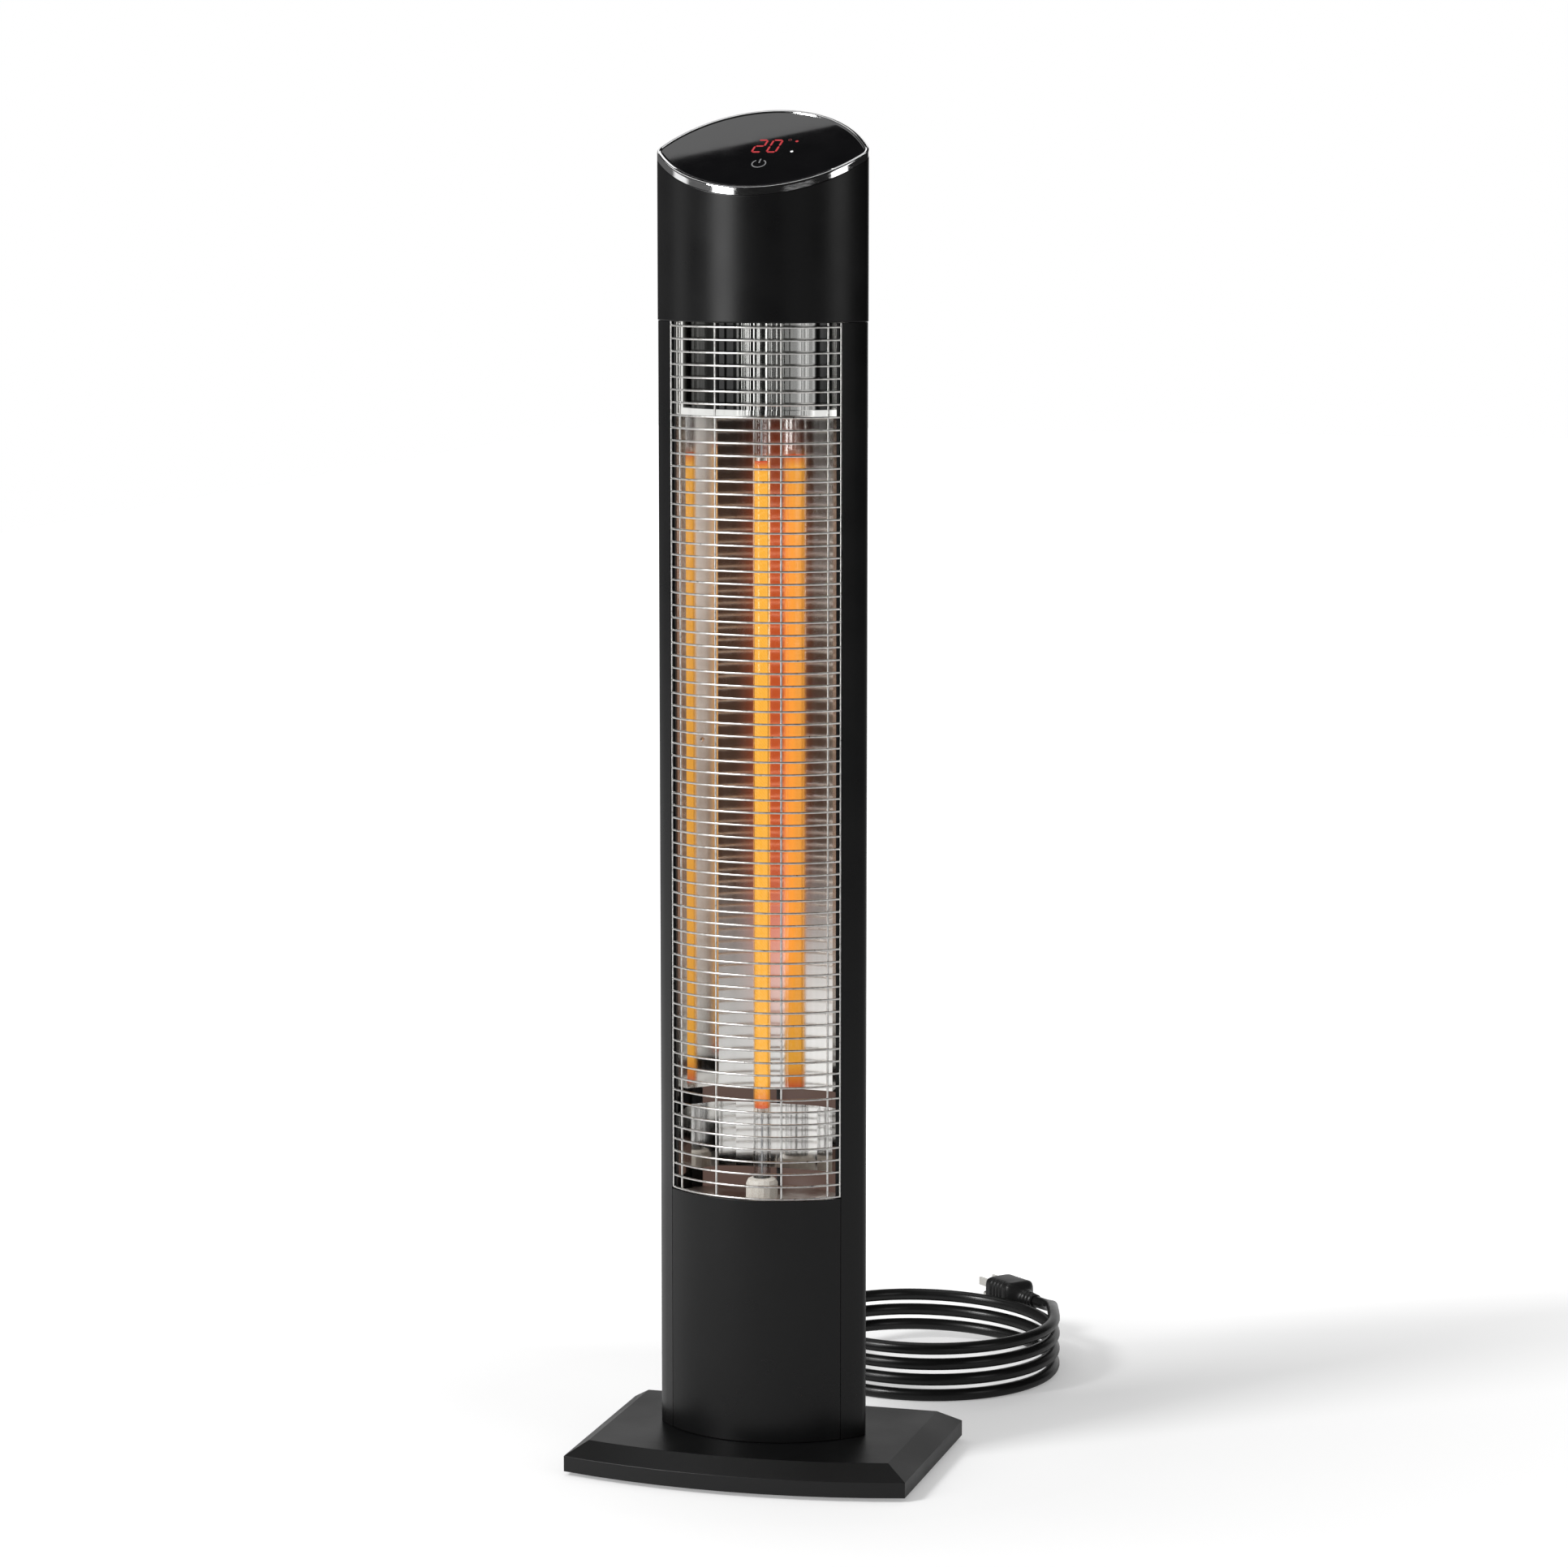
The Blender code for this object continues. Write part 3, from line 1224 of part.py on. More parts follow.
def make_head():
    """The shroud, the ring round its slanted top, the glass and what lies under it."""
    outer = lens_outline(-HEAD_PROUD)
    inner = lens_outline(HEAD_WALL - HEAD_PROUD)
    shell_drop = RING_HEIGHT + SEAT_GAP
    rings = [
        at_height(outer, HEAD_BOTTOM),
        on_slant(outer, shell_drop),
        on_slant(inner, shell_drop),
        at_height(inner, HEAD_BOTTOM),
    ]
    loft("head_shell", rings, satin_black(), closed=True)
    ring_inner = lens_outline(RING_WIDTH - HEAD_PROUD)
    ring_rings = [
        on_slant(outer, RING_HEIGHT),
        on_slant(outer, RING_ROUND),
        on_slant(lens_outline(RING_ROUND - HEAD_PROUD), 0),
        on_slant(ring_inner, 0),
        on_slant(ring_inner, RING_HEIGHT),
    ]
    loft("chrome_ring", ring_rings, bright_chrome(), closed=True)
    plate = lens_outline(HEAD_INNER_INSET)
    slant_plate(
        "control_glass", plate, GLASS_RECESS, GLASS_RECESS + GLASS_THICKNESS, gloss_black()
    )
    carrier = slant_plate(
        "control_carrier", plate, CARRIER_TOP_DROP, CARRIER_BOTTOM_DROP, matte_black()
    )
    display = rectangle(DISPLAY_X, DISPLAY_Y, DISPLAY_WIDTH, DISPLAY_DEPTH)
    display_hole = rectangle(
        DISPLAY_X, DISPLAY_Y, DISPLAY_WIDTH + 2 * SEAT_GAP, DISPLAY_DEPTH + 2 * SEAT_GAP
    )
    touch = circle(TOUCH_X, TOUCH_Y, TOUCH_RADIUS)
    touch_hole = circle(TOUCH_X, TOUCH_Y, TOUCH_RADIUS + SEAT_GAP)
    for name, hole in (("display_window", display_hole), ("touch_window", touch_hole)):
        top = CARRIER_TOP_DROP - CUT_OVERRUN
        bottom = CARRIER_BOTTOM_DROP + CUT_OVERRUN
        cut(carrier, slant_plate(name, hole, top, bottom, matte_black()))
    slant_plate("led_display", display, CARRIER_TOP_DROP, CARRIER_BOTTOM_DROP, red_display())
    slant_plate("touch_pad", touch, CARRIER_TOP_DROP, CARRIER_BOTTOM_DROP, zinc_steel())
    board = rectangle(0, BODY_Y, CONTROL_BOARD_WIDTH, CONTROL_BOARD_DEPTH)
    slant_plate(
        "control_board", board, BOARD_TOP_DROP, BOARD_TOP_DROP + BOARD_THICKNESS, green_board()
    )


def make_head_tray():
    """A shallow tray that closes the foot of the head and sits on the rails."""
    edge = HEAD_WALL - HEAD_PROUD + SEAT_GAP
    outer = lens_outline(edge)
    inner = lens_outline(edge + TRAY_WALL)
    rings = [
        at_height(outer, HEAD_BOTTOM),
        at_height(outer, HEAD_BOTTOM + TRAY_HEIGHT),
        at_height(inner, HEAD_BOTTOM + TRAY_HEIGHT),
        at_height(inner, HEAD_BOTTOM + TRAY_FLOOR),
    ]
    tray = loft("head_tray", rings, matte_black())
    height = TRAY_HEIGHT + 2 * CUT_OVERRUN
    cut(tray, loom_notch("tray_loom_notch", HEAD_BOTTOM + TRAY_HEIGHT / 2, height))


def make_thermal_cutout():
    """The overheat cut-out, a round can under the head tray."""
    profile = [
        (0, 0),
        (CUTOUT_RADIUS, 0),
        (CUTOUT_RADIUS, -CUTOUT_HEIGHT / 2),
        (CUTOUT_RADIUS / 2, -CUTOUT_HEIGHT / 2),
        (CUTOUT_RADIUS / 2, -CUTOUT_HEIGHT),
        (0, -CUTOUT_HEIGHT),
    ]
    turned("thermal_cutout", profile, zinc_steel(), (CUTOUT_X, CUTOUT_Y, COLUMN_TOP))


def exit_turn():
    """Rotation that sends Z out of the rear wall and down, along the cord's exit."""
    return (-math.pi / 2 - EXIT_TILT, 0, 0)


def exit_point(distance):
    """A point on the cord's exit line, from the middle of the rear wall outwards."""
    wall_y = back_y(0, HOUSING_WALL / 2)
    return Vector(
        (0, wall_y + distance * math.cos(EXIT_TILT), EXIT_Z - distance * math.sin(EXIT_TILT))
    )


def make_cord_boot():
    """The strain relief: a plug in the wall's hole, a collar and a tapered, ribbed tail."""
    ribs = 5
    tail_start = BOOT_RADIUS + BOOT_COLLAR
    groove = (BOOT_RADIUS - BOOT_END_RADIUS) / 2
    profile = [
        (0, -BOOT_INNER_LENGTH),
        (BOOT_RADIUS, -BOOT_INNER_LENGTH),
        (BOOT_RADIUS, tail_start),
    ]
    step = (BOOT_LENGTH - tail_start) / (2 * ribs)
    for i in range(1, 2 * ribs + 1):
        share = i / (2 * ribs)
        radius = BOOT_RADIUS + (BOOT_END_RADIUS - BOOT_RADIUS) * share
        if i % 2 and i < 2 * ribs:
            radius -= groove
        profile.append((radius, tail_start + step * i))
    profile.append((0, BOOT_LENGTH))
    boot = turned("cord_boot", profile, rubber_black(), exit_point(0))
    boot.rotation_euler = exit_turn()


def smooth_route(route, spacing):
    """Points at about even spacing along a smooth curve through a route's own points."""
    padded = [2 * route[0] - route[1], *route, 2 * route[-1] - route[-2]]
    fine = [route[0]]
    for i in range(1, len(padded) - 2):
        before, here, after, beyond = padded[i - 1 : i + 3]
        for share in spread(0, 1, 16)[1:]:
            square = share * share
            cube = square * share
            fine.append(
                (
                    2 * here
                    + (after - before) * share
                    + (2 * before - 5 * here + 4 * after - beyond) * square
                    + (3 * here - before - 3 * after + beyond) * cube
                )
                / 2
            )
    length = sum((b - a).length for a, b in zip(fine, fine[1:]))
    pieces = max(2, round(length / spacing))
    points = [fine[0]]
    walked = 0
    for a, b in zip(fine, fine[1:]):
        walked += (b - a).length
        if walked >= length * len(points) / pieces and len(points) < pieces:
            points.append(b)
    points.append(fine[-1])
    return points


def coil_height(angle):
    """Height of the coil's centre line: a steady climb, and lower on the side off the tower."""
    climb = COIL_PITCH * (angle - COIL_START_ANGLE) / math.tau
    return CORD_RADIUS + climb - COIL_TILT * (math.cos(angle) - math.cos(COIL_START_ANGLE))


def heading(angle):
    """Unit vector along the coil where it passes this angle, seen from above."""
    return Vector((-math.sin(angle), math.cos(angle), 0))


def coil_points():
    """The coil from its straight start, up its turns and outwards at its end to the plug."""
    step = math.tau / COIL_STEPS
    leave = COIL_LEAVE_ANGLE + COIL_WHOLE_TURNS * math.tau
    count = math.ceil((leave - COIL_START_ANGLE) / step)
    points = []
    for angle in spread(COIL_START_ANGLE, leave, count):
        across = COIL_RADIUS * math.cos(angle)
        along = COIL_RADIUS * math.sin(angle)
        points.append(Vector((COIL_X + across, COIL_Y + along, coil_height(angle))))
    lead_in = points[0] - heading(COIL_START_ANGLE) * (2 * CORD_RADIUS)
    run_start = points[-1]
    run_end = run_start + heading(leave) * COIL_RUN_OUT
    end_centre = run_end - Vector((math.cos(leave), math.sin(leave), 0)) * COIL_END_RADIUS
    end_steps = math.ceil(COIL_END_SWEEP / step)
    end = [run_start.lerp(run_end, share) for share in spread(0, 1, 2)[1:]]
    for angle in spread(leave, leave + COIL_END_SWEEP, end_steps)[1:]:
        offset = Vector((math.cos(angle), math.sin(angle), 0)) * COIL_END_RADIUS
        end.append(end_centre + offset)
    fall = PLUG_AXIS_Z - run_start.z
    for i, point in enumerate(end):
        share = (i + 1) / len(end)
        point.z = run_start.z + fall * share * share * (3 - 2 * share)
    lead_out = end[-1] + plug_heading() * (2 * CORD_RADIUS)
    return [lead_in, *points, *end, lead_out]


def plug_heading():
    return heading(COIL_LEAVE_ANGLE + COIL_END_SWEEP)


def least_self_gap(points, diameter):
    """Least clear distance between stretches of a tube that lie over three diameters apart."""
    fine = []
    for a, b in zip(points, points[1:]):
        fine += [a.lerp(b, share) for share in (0, 0.25, 0.5, 0.75)]
    fine.append(points[-1])
    along = [0]
    for a, b in zip(fine, fine[1:]):
        along.append(along[-1] + (b - a).length)
    least = math.inf
    for i, a in enumerate(fine):
        for j in range(i + 1, len(fine)):
            if along[j] - along[i] > 3 * diameter:
                least = min(least, (fine[j] - a).length - diameter)
    return least


def path_length(points):
    return sum((b - a).length for a, b in zip(points, points[1:]))


def make_cord():
    coil = coil_points()
    tube("cord_coil", coil, CORD_RADIUS, 1, rubber_black())
    start_heading = heading(COIL_START_ANGLE)
    tail_start = exit_point(BOOT_LENGTH + SEAT_GAP)
    tail_end = coil[0] - start_heading * SEAT_GAP
    route = [
        exit_point(BOOT_LENGTH + SEAT_GAP + 2 * CORD_RADIUS),
        *[Vector(point) for point in TAIL_ROUTE],
        tail_end - start_heading * (2 * CORD_RADIUS),
    ]
    tail = [tail_start, *smooth_route(route, TAIL_POINT_SPACING), tail_end]
    tube("cord_tail", tail, CORD_RADIUS, 2, rubber_black())
    print("coil self gap in mm:", 1000 * least_self_gap(coil, 2 * CORD_RADIUS))
    print("cord length in m:", path_length(coil) + path_length(tail))


def plug_ring(distance, width, height, squareness):
    """A ring round the plug's axis; squareness 2 is an ellipse, and more is boxier."""
    ring = []
    for turn in spread(0, math.tau, TURN_STEPS)[:-1]:
        across = math.copysign(abs(math.cos(turn)) ** (2 / squareness), math.cos(turn))
        rise = math.copysign(abs(math.sin(turn)) ** (2 / squareness), math.sin(turn))
        ring.append((distance, across * width / 2, rise * height / 2))
    return ring


def make_plug():
    """The plug body, two flat blades and a round earth pin, along the plug's own X axis."""
    start = coil_points()[-1] + plug_heading() * SEAT_GAP
    turn = math.atan2(plug_heading().y, plug_heading().x)
    frame = bpy.data.objects.new("plug_frame", None)
    bpy.context.scene.collection.objects.link(frame)
    frame.location = start
    frame.rotation_euler = (0, 0, turn)
    neck = PLUG_NECK_LENGTH
    end = neck + PLUG_LENGTH
    taper_end = neck * PLUG_NECK_TAPER_SHARE
    shoulder_width = PLUG_WIDTH * PLUG_SHOULDER_WIDTH_SHARE
    shoulder_height = PLUG_HEIGHT * PLUG_SHOULDER_HEIGHT_SHARE
    shoulder = neck + PLUG_LENGTH * PLUG_SHOULDER_LENGTH_SHARE
    rings = [
        plug_ring(0, 2 * PLUG_NECK_RADIUS, 2 * PLUG_NECK_RADIUS, 2),
        plug_ring(taper_end, 2 * PLUG_NECK_END_RADIUS, 2 * PLUG_NECK_END_RADIUS, 2),
        plug_ring(neck, shoulder_width, shoulder_height, 3),
        plug_ring(shoulder, PLUG_WIDTH, PLUG_HEIGHT, 5),
        plug_ring(end - PLUG_EDGE, PLUG_WIDTH, PLUG_HEIGHT, 5),
        plug_ring(end, PLUG_WIDTH - 2 * PLUG_EDGE, PLUG_HEIGHT - 2 * PLUG_EDGE, 5),
    ]
    body = loft("plug_body", rings, rubber_black())
    body.parent = frame
    face = end + SEAT_GAP
    for side in (-1, 1):
        blade = block(
            f"plug_blade_{'left' if side > 0 else 'right'}",
            (BLADE_LENGTH, BLADE_THICKNESS, BLADE_WIDTH),
            (face + BLADE_LENGTH / 2, side * BLADE_SPACING / 2, BLADE_RISE),
            zinc_steel(),
        )
        blade.parent = frame
    pin_profile = [
        (0, EARTH_PIN_LENGTH),
        (EARTH_PIN_RADIUS / 2, EARTH_PIN_LENGTH),
        (EARTH_PIN_RADIUS, EARTH_PIN_LENGTH - EARTH_PIN_RADIUS),
        (EARTH_PIN_RADIUS, 0),
        (0, 0),
    ]
    pin = turned("plug_earth_pin", pin_profile, zinc_steel(), steps=SMALL_STEPS)
    pin.parent = frame
    pin.location = (face, 0, -EARTH_PIN_DROP)
    pin.rotation_euler = Matrix.Rotation(math.pi / 2, 3, "Y").to_euler()


def main():
    clear_scene()
    make_base_cover()
    make_bottom_plate()
    make_feet()
    make_ballast()
    make_column_bracket()
    make_column_bolts()
    make_tip_switch()
    make_rails()
    make_rear_housing()
    make_rear_screws()
    make_lower_front_panel()
    make_reflectors()
    make_rivets()
    make_chamber_floor()
    make_upper_cover()
    make_heating_tube()
    make_tube_holders()
    make_guard()
    make_power_parts()
    make_loom()
    make_supply_lead()
    make_rocker_switch()
    make_head()
    make_head_tray()
    make_thermal_cutout()
    make_cord_boot()
    make_cord()
    make_plug()


main()
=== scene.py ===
"""Looks of the tower heater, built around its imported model.

Lengths are in metres, in the model's own frame: +Z up, and the heater faces -Y.
"""

import json
import math

import bmesh
import bpy
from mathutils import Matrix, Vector


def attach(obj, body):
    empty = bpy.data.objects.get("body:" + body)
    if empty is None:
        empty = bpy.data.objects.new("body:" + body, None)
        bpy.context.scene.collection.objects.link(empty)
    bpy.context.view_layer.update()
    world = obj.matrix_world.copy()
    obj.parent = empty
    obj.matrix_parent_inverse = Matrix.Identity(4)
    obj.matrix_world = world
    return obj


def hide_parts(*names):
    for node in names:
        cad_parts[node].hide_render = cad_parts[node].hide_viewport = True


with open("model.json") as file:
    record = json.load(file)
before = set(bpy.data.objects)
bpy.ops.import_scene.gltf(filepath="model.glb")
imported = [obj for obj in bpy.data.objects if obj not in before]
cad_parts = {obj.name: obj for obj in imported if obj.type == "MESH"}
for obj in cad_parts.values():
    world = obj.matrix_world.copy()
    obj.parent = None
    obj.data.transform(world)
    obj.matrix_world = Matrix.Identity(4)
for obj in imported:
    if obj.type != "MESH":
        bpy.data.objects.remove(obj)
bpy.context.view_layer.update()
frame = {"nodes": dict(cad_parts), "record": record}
NODES = frame["nodes"]
BODY = "heater"

# Camera, as the photograph was taken
CAMERA_PLACE = Vector((0.89885, -3.12798, 0.92650))
CAMERA_TARGET = Vector((0.01419, 0.00700, 0.48534))
CAMERA_SENSOR = 36.0
CAMERA_LENS = 108.077

# Body outline, head, ring and glass
BODY_WIDTH = 0.150
BODY_FRONT_DEPTH = 0.042
BODY_BACK_DEPTH = 0.046
BODY_CORNER_RADIUS = 0.008
BODY_Y = 0.003
HEAD_BOTTOM = 0.8075
HEAD_TOP = 0.9243
HEAD_TILT = math.radians(31.06)
HEAD_PROUD = 0.0003
HEAD_WALL = 0.002
HEAD_EDGE = 0.0005
RING_WIDTH = 0.0026
RING_HEIGHT = 0.0049
RING_ROUND = 0.0009
RING_INNER_ROUND = 0.0004
GLASS_THICKNESS = 0.003
GLASS_RECESS = 0.0006
GLASS_ROUND = 0.0006
GLASS_TOP_INSET = 0.0011
ROUND_SUPPORT = 0.0003
SEAT_GAP = 0.0003
FRONT_RADIUS = (
    (BODY_WIDTH / 2 - BODY_CORNER_RADIUS) ** 2 + BODY_FRONT_DEPTH**2 - BODY_CORNER_RADIUS**2
) / (2 * (BODY_FRONT_DEPTH - BODY_CORNER_RADIUS))
BACK_RADIUS = (
    (BODY_WIDTH / 2 - BODY_CORNER_RADIUS) ** 2 + BODY_BACK_DEPTH**2 - BODY_CORNER_RADIUS**2
) / (2 * (BODY_BACK_DEPTH - BODY_CORNER_RADIUS))
FRONT_CENTRE_Y = BODY_Y - BODY_FRONT_DEPTH + FRONT_RADIUS
BACK_CENTRE_Y = BODY_Y + BODY_BACK_DEPTH - BACK_RADIUS

# Wire guard
WIRE_RADIUS = 0.00075
WIRE_INSET = 0.0012
WIRE_ROWS = 70
WIRE_LOW = 0.19855
WIRE_HIGH = 0.80435
WIRE_TOP = 0.8072
UPRIGHTS_IN_LINE = (0.0608,)
UPRIGHTS_BEHIND = (0.053, 0.0236)
UPRIGHT_SET_BACK = 1.7

# Main reflector, seen from above from its middle outwards
REFLECTOR_VERTEX_Y = 0.0370
REFLECTOR_RADIUS = 0.330
REFLECTOR_CENTRE_HALF = 0.030
REFLECTOR_FOLD = (0.042, 0.0346)
REFLECTOR_SIDE = (0.0599, 0.0165)
REFLECTOR_EDGE = (0.0575, -0.0124)
REFLECTOR_BOTTOM = 0.263
REFLECTOR_TOP = 0.8066
SHEET = 0.0008
RIVET_Z = 0.512
RIVET_RADIUS = 0.0018
RIVET_HEIGHT = 0.001
RIVET_TURN = math.radians(84)

# Painted warm light, given off by the rear housing's inner wall in place of the element's light on
# it, above and below the lower reflector
HOUSING_WALL = 0.002
WALL_GLOW_LOW = 0.184
WALL_GLOW_HIGH = 0.270
WALL_GLOW_FADE = 0.004

# Heating tube: its glowing element, with redder ends
ELEMENT_BOTTOM = 0.256
ELEMENT_TOP = 0.711
GLOW_FADE = 0.006
RED_END_LOW = 0.018
RED_END_HIGH = 0.008

# Tint, and painted warm light given off by the sheet itself, on the main reflector: distances from
# its middle, and heights
TINT_SHARE = 0.14
TINT_ACROSS = (0.004, 0.046)
TINT_HEIGHT = (0.290, 0.370, 0.660, 0.745)
RED_ACROSS = (0.006, 0.032)
# Where the painted light turns paler on the right side, as a painted reflection
RIGHT_SIDE_ACROSS = (0.036, 0.044)

# Bands of the upper cover, painted shade and painted reflection in its colour, each by the places
# across it where it starts and is full
COVER_DARK = (-0.0245, -0.0235)
COVER_BRIGHT = (-0.010, -0.004)
COVER_PAINTED_BRIGHT = (0.030, 0.036)
COVER_PAINTED_DARK = (0.0415, 0.0435)
COVER_RIM = (0.052, 0.0545)
COVER_RIBS_START = (-0.012, -0.009)
COVER_RIBS_END = (0.022, 0.030)
# The left corner and the bright band's end give off painted light.
COVER_CORNER = (-0.0580, -0.0575, -0.0545, -0.0540)
COVER_SHEEN_END = (0.0410, 0.0430)

# Lower lip of the upper cover, with painted light given off on its left and its right
COVER_LIP_TOP = 0.7474
COVER_LIP_FADE = 0.0004
LIP_LEFT_END = (-0.008, 0.002)
LIP_RIGHT_START = (0.036, 0.042)

# Depths of surface relief
FINE_RELIEF = 0.0002
RIB_RELIEF = 0.0022

# Colour of a surface that gives off no light
UNLIT = (0, 0, 0)

# Mains lead and plug
CORD_RADIUS = 0.0045
EXIT_PLACE = Vector((0, 0.048, 0.075))
EXIT_TILT = math.radians(45)
BOOT_RADIUS = 0.0068
BOOT_END_RADIUS = 0.0055
BOOT_INNER_LENGTH = 0.010
BOOT_COLLAR = 0.0128
BOOT_LENGTH = 0.036
BOOT_RIBS = 5
BOOT_RIB_DEPTH = 0.0007
BOOT_EDGE = 0.0006
COIL_X = 0.0545
COIL_Y = 0.279
COIL_RADIUS = 0.0935
COIL_PITCH = 0.0118
COIL_TILT = 0.0019
COIL_START = math.radians(250)
COIL_LEAVE = math.radians(374.5) + 3 * math.tau
COIL_RUN_OUT = 0.0435
COIL_END_RADIUS = 0.034
COIL_END_SWEEP = math.radians(35.5)
COIL_STEPS = 72
TAIL_ROUTE = (
    (0.0000, 0.0865, 0.0365),
    (-0.0020, 0.1000, 0.0230),
    (-0.0080, 0.1120, 0.0120),
    (-0.0180, 0.1225, 0.0063),
    (-0.0305, 0.1305, 0.0048),
    (-0.0420, 0.1400, 0.0046),
    (-0.0490, 0.1530, 0.0046),
    (-0.0495, 0.1680, 0.0046),
    (-0.0435, 0.1820, 0.0046),
    (-0.0320, 0.1925, 0.0046),
    (-0.0180, 0.1985, 0.0046),
    (-0.0040, 0.1995, 0.0046),
)
PLUG_AXIS_Z = 0.0355
PLUG_WIDTH = 0.027
PLUG_HEIGHT = 0.023
PLUG_LENGTH = 0.034
PLUG_NECK_LENGTH = 0.014
PLUG_NECK_RADIUS = 0.0055
PLUG_NECK_END_RADIUS = 0.0066
PLUG_EDGE = 0.0015
PLUG_TAPER_SHARE = 0.8
PLUG_NECK_GROOVES = 3
PLUG_NECK_GROOVE = 0.0011
PLUG_NECK_SQUARENESS = 2
PLUG_SQUARENESS = 5
PLUG_GRIPS = 4
PLUG_GRIP_DEPTH = 0.0016
PLUG_GRIP_START = 0.003
PLUG_GRIP_END = 0.006

# Marks on the glass, as places seen from above
DIGITS_LEFT = -0.0082
DIGITS_BOTTOM = 0.0007
DIGIT_WIDTH = 0.0078
DIGIT_HEIGHT = 0.0147
DIGIT_STEP = 0.0106
DIGIT_LEAN = 0.13
DIGIT_STROKE = 0.0014
DIGIT_GAP = 0.0003
RED_DOT = (0.0216, 0.0135, 0.0011)
WHITE_DOT = (0.0211, 0.0020, 0.0010)
DEGREE_MARK = (0.0163, 0.0150, 0.0013, 0.0004)
DEGREE_GAP = 0.02
MARK_THICKNESS = 0.00008
TOUCH_X = 0.0015
TOUCH_Y = -0.0115
TOUCH_RADIUS = 0.0052
TOUCH_STROKE = 0.0009
TOUCH_GAP = 0.62
TOUCH_BAR_ENDS = (0.12, 0.98)

# Edges of the smooth pieces
SMOOTH_ANGLE = math.radians(31)
ROUND_ANGLE = math.radians(50)
FOLD_ANGLE = math.radians(5)
FLAT_ANGLE = math.radians(0.5)
WELD_DISTANCE = 1e-6
EASED_EDGE = 0.0004
BASE_EASED_EDGE = 0.0012

# Counts
ARC_STEPS = 30
CORNER_STEPS = 8
WIRE_STEPS = 28
WIRE_SIDES = 10
UPRIGHT_SIDES = 12
MIDDLE_STEPS = 24
RIVET_STEPS = 6
RIVET_SIDES = 20
ROUND_STEPS = 4
CORD_BEVEL = 6
ROUTE_STEPS = 8
RUN_OUT_STEPS = 8
COIL_END_STEPS = 9
BOOT_RIB_STEPS = 12
BOOT_SIDES = 40
PLUG_STEPS = 84
PLUG_EDGE_STEPS = 6
PLUG_SIDES = 56
DISC_STEPS = 24
DEGREE_STEPS = 20
TOUCH_STEPS = 30

# Floor: its ends, its colours, and the light it gives off by itself near the heater
FLOOR_SIDE = 4
FLOOR_FRONT = -2.4
FLOOR_BACK = 12
FLOOR_MIDDLE = (0, 0.1, 0)
FLOOR_WHITE = (0.70, 0.70, 0.70)
FLOOR_GREY = (0.10, 0.10, 0.10)
FLOOR_GREY_ENDS = (-2.25, -1.20)
FLOOR_GLOW = 0.28
FLOOR_LEAST_GLOW = 0.06

# Where the floor turns white for the camera and in mirrors, as distances in metres
VIEW_HEADING = (-0.272, 0.962, 0)
WHITE_DEEP = (0.30, 0.85)
WHITE_FAR = (0.25, 2.2)
MIRRORED_FAR = (0.6, 1.8)
MIRRORED_BACK = (-0.9, -0.3)
MIRRORED_ASIDE = (0.8, 1.4)

# Room that the reflections show: levels of light, and directions
AMBIENT_LEVEL = 0.42
ROOM_LEVELS = (0.012, 0.9)
ROOM_BEHIND = (0.80, 0.97)
LEFT_LEVEL = 0.12
ROOM_LEFT = (-0.8, -0.6)
LEFT_CARD_HEADING = (-0.995, -0.10, 0)
LEFT_CARD_EDGE = (0.980, 0.993)
FRONT_CARD_LEVEL = 1.1
FRONT_CARD_HEADING = (0.5, -0.866, 0)
FRONT_CARD_EDGE = (0.970, 0.985)
FRONT_CARD_HEIGHT = (-0.11, -0.09, -0.030, -0.020)

# Turn of the light above the floor behind the heater
BACK_LIGHT_ROLL = math.radians(13)


def spread(first, last, steps):
    return [first + (last - first) * i / steps for i in range(steps + 1)]


def mix(a, b, share):
    return a + (b - a) * share


def ease(share):
    share = min(1, max(0, share))
    return share * share * (3 - 2 * share)


def wave(turns):
    """Goes from nothing to one and back in each turn."""
    return (1 - math.cos(turns * math.tau)) / 2


# Shapes
def add_object(name, data):
    made = bpy.data.objects.new(name, data)
    bpy.context.scene.collection.objects.link(made)
    return made


def from_bmesh(name, bm, finish, smooth_angle=SMOOTH_ANGLE):
    bmesh.ops.recalc_face_normals(bm, faces=bm.faces)
    for face in bm.faces:
        face.smooth = True
    for edge in bm.edges:
        edge.smooth = edge.calc_face_angle(math.pi) < smooth_angle
    mesh = bpy.data.meshes.new(name)
    bm.to_mesh(mesh)
    bm.free()
    mesh.materials.append(finish)
    return add_object(name, mesh)


def add_loft(bm, rings, closed=False):
    """Joins rings of points with faces; open ends are capped, and a closed loft meets itself."""
    made = [[bm.verts.new(point) for point in ring] for ring in rings]
    pairs = list(zip(made, made[1:]))
    if closed:
        pairs.append((made[-1], made[0]))
    for low, high in pairs:
        for i, corner in enumerate(low):
            j = (i + 1) % len(low)
            bm.faces.new((corner, low[j], high[j], high[i]))
    if not closed:
        bm.faces.new(made[0])
        bm.faces.new(made[-1])


def loft(name, rings, finish, closed=False, smooth_angle=SMOOTH_ANGLE):
    bm = bmesh.new()
    add_loft(bm, rings, closed)
    return from_bmesh(name, bm, finish, smooth_angle)


def arc(centre_x, centre_y, radius, first, last, steps):
    return [
        (centre_x + radius * math.cos(turn), centre_y + radius * math.sin(turn))
        for turn in spread(first, last, steps)
    ]


def front_y(x, inset=0):
    return FRONT_CENTRE_Y - math.sqrt((FRONT_RADIUS - inset) ** 2 - x**2)


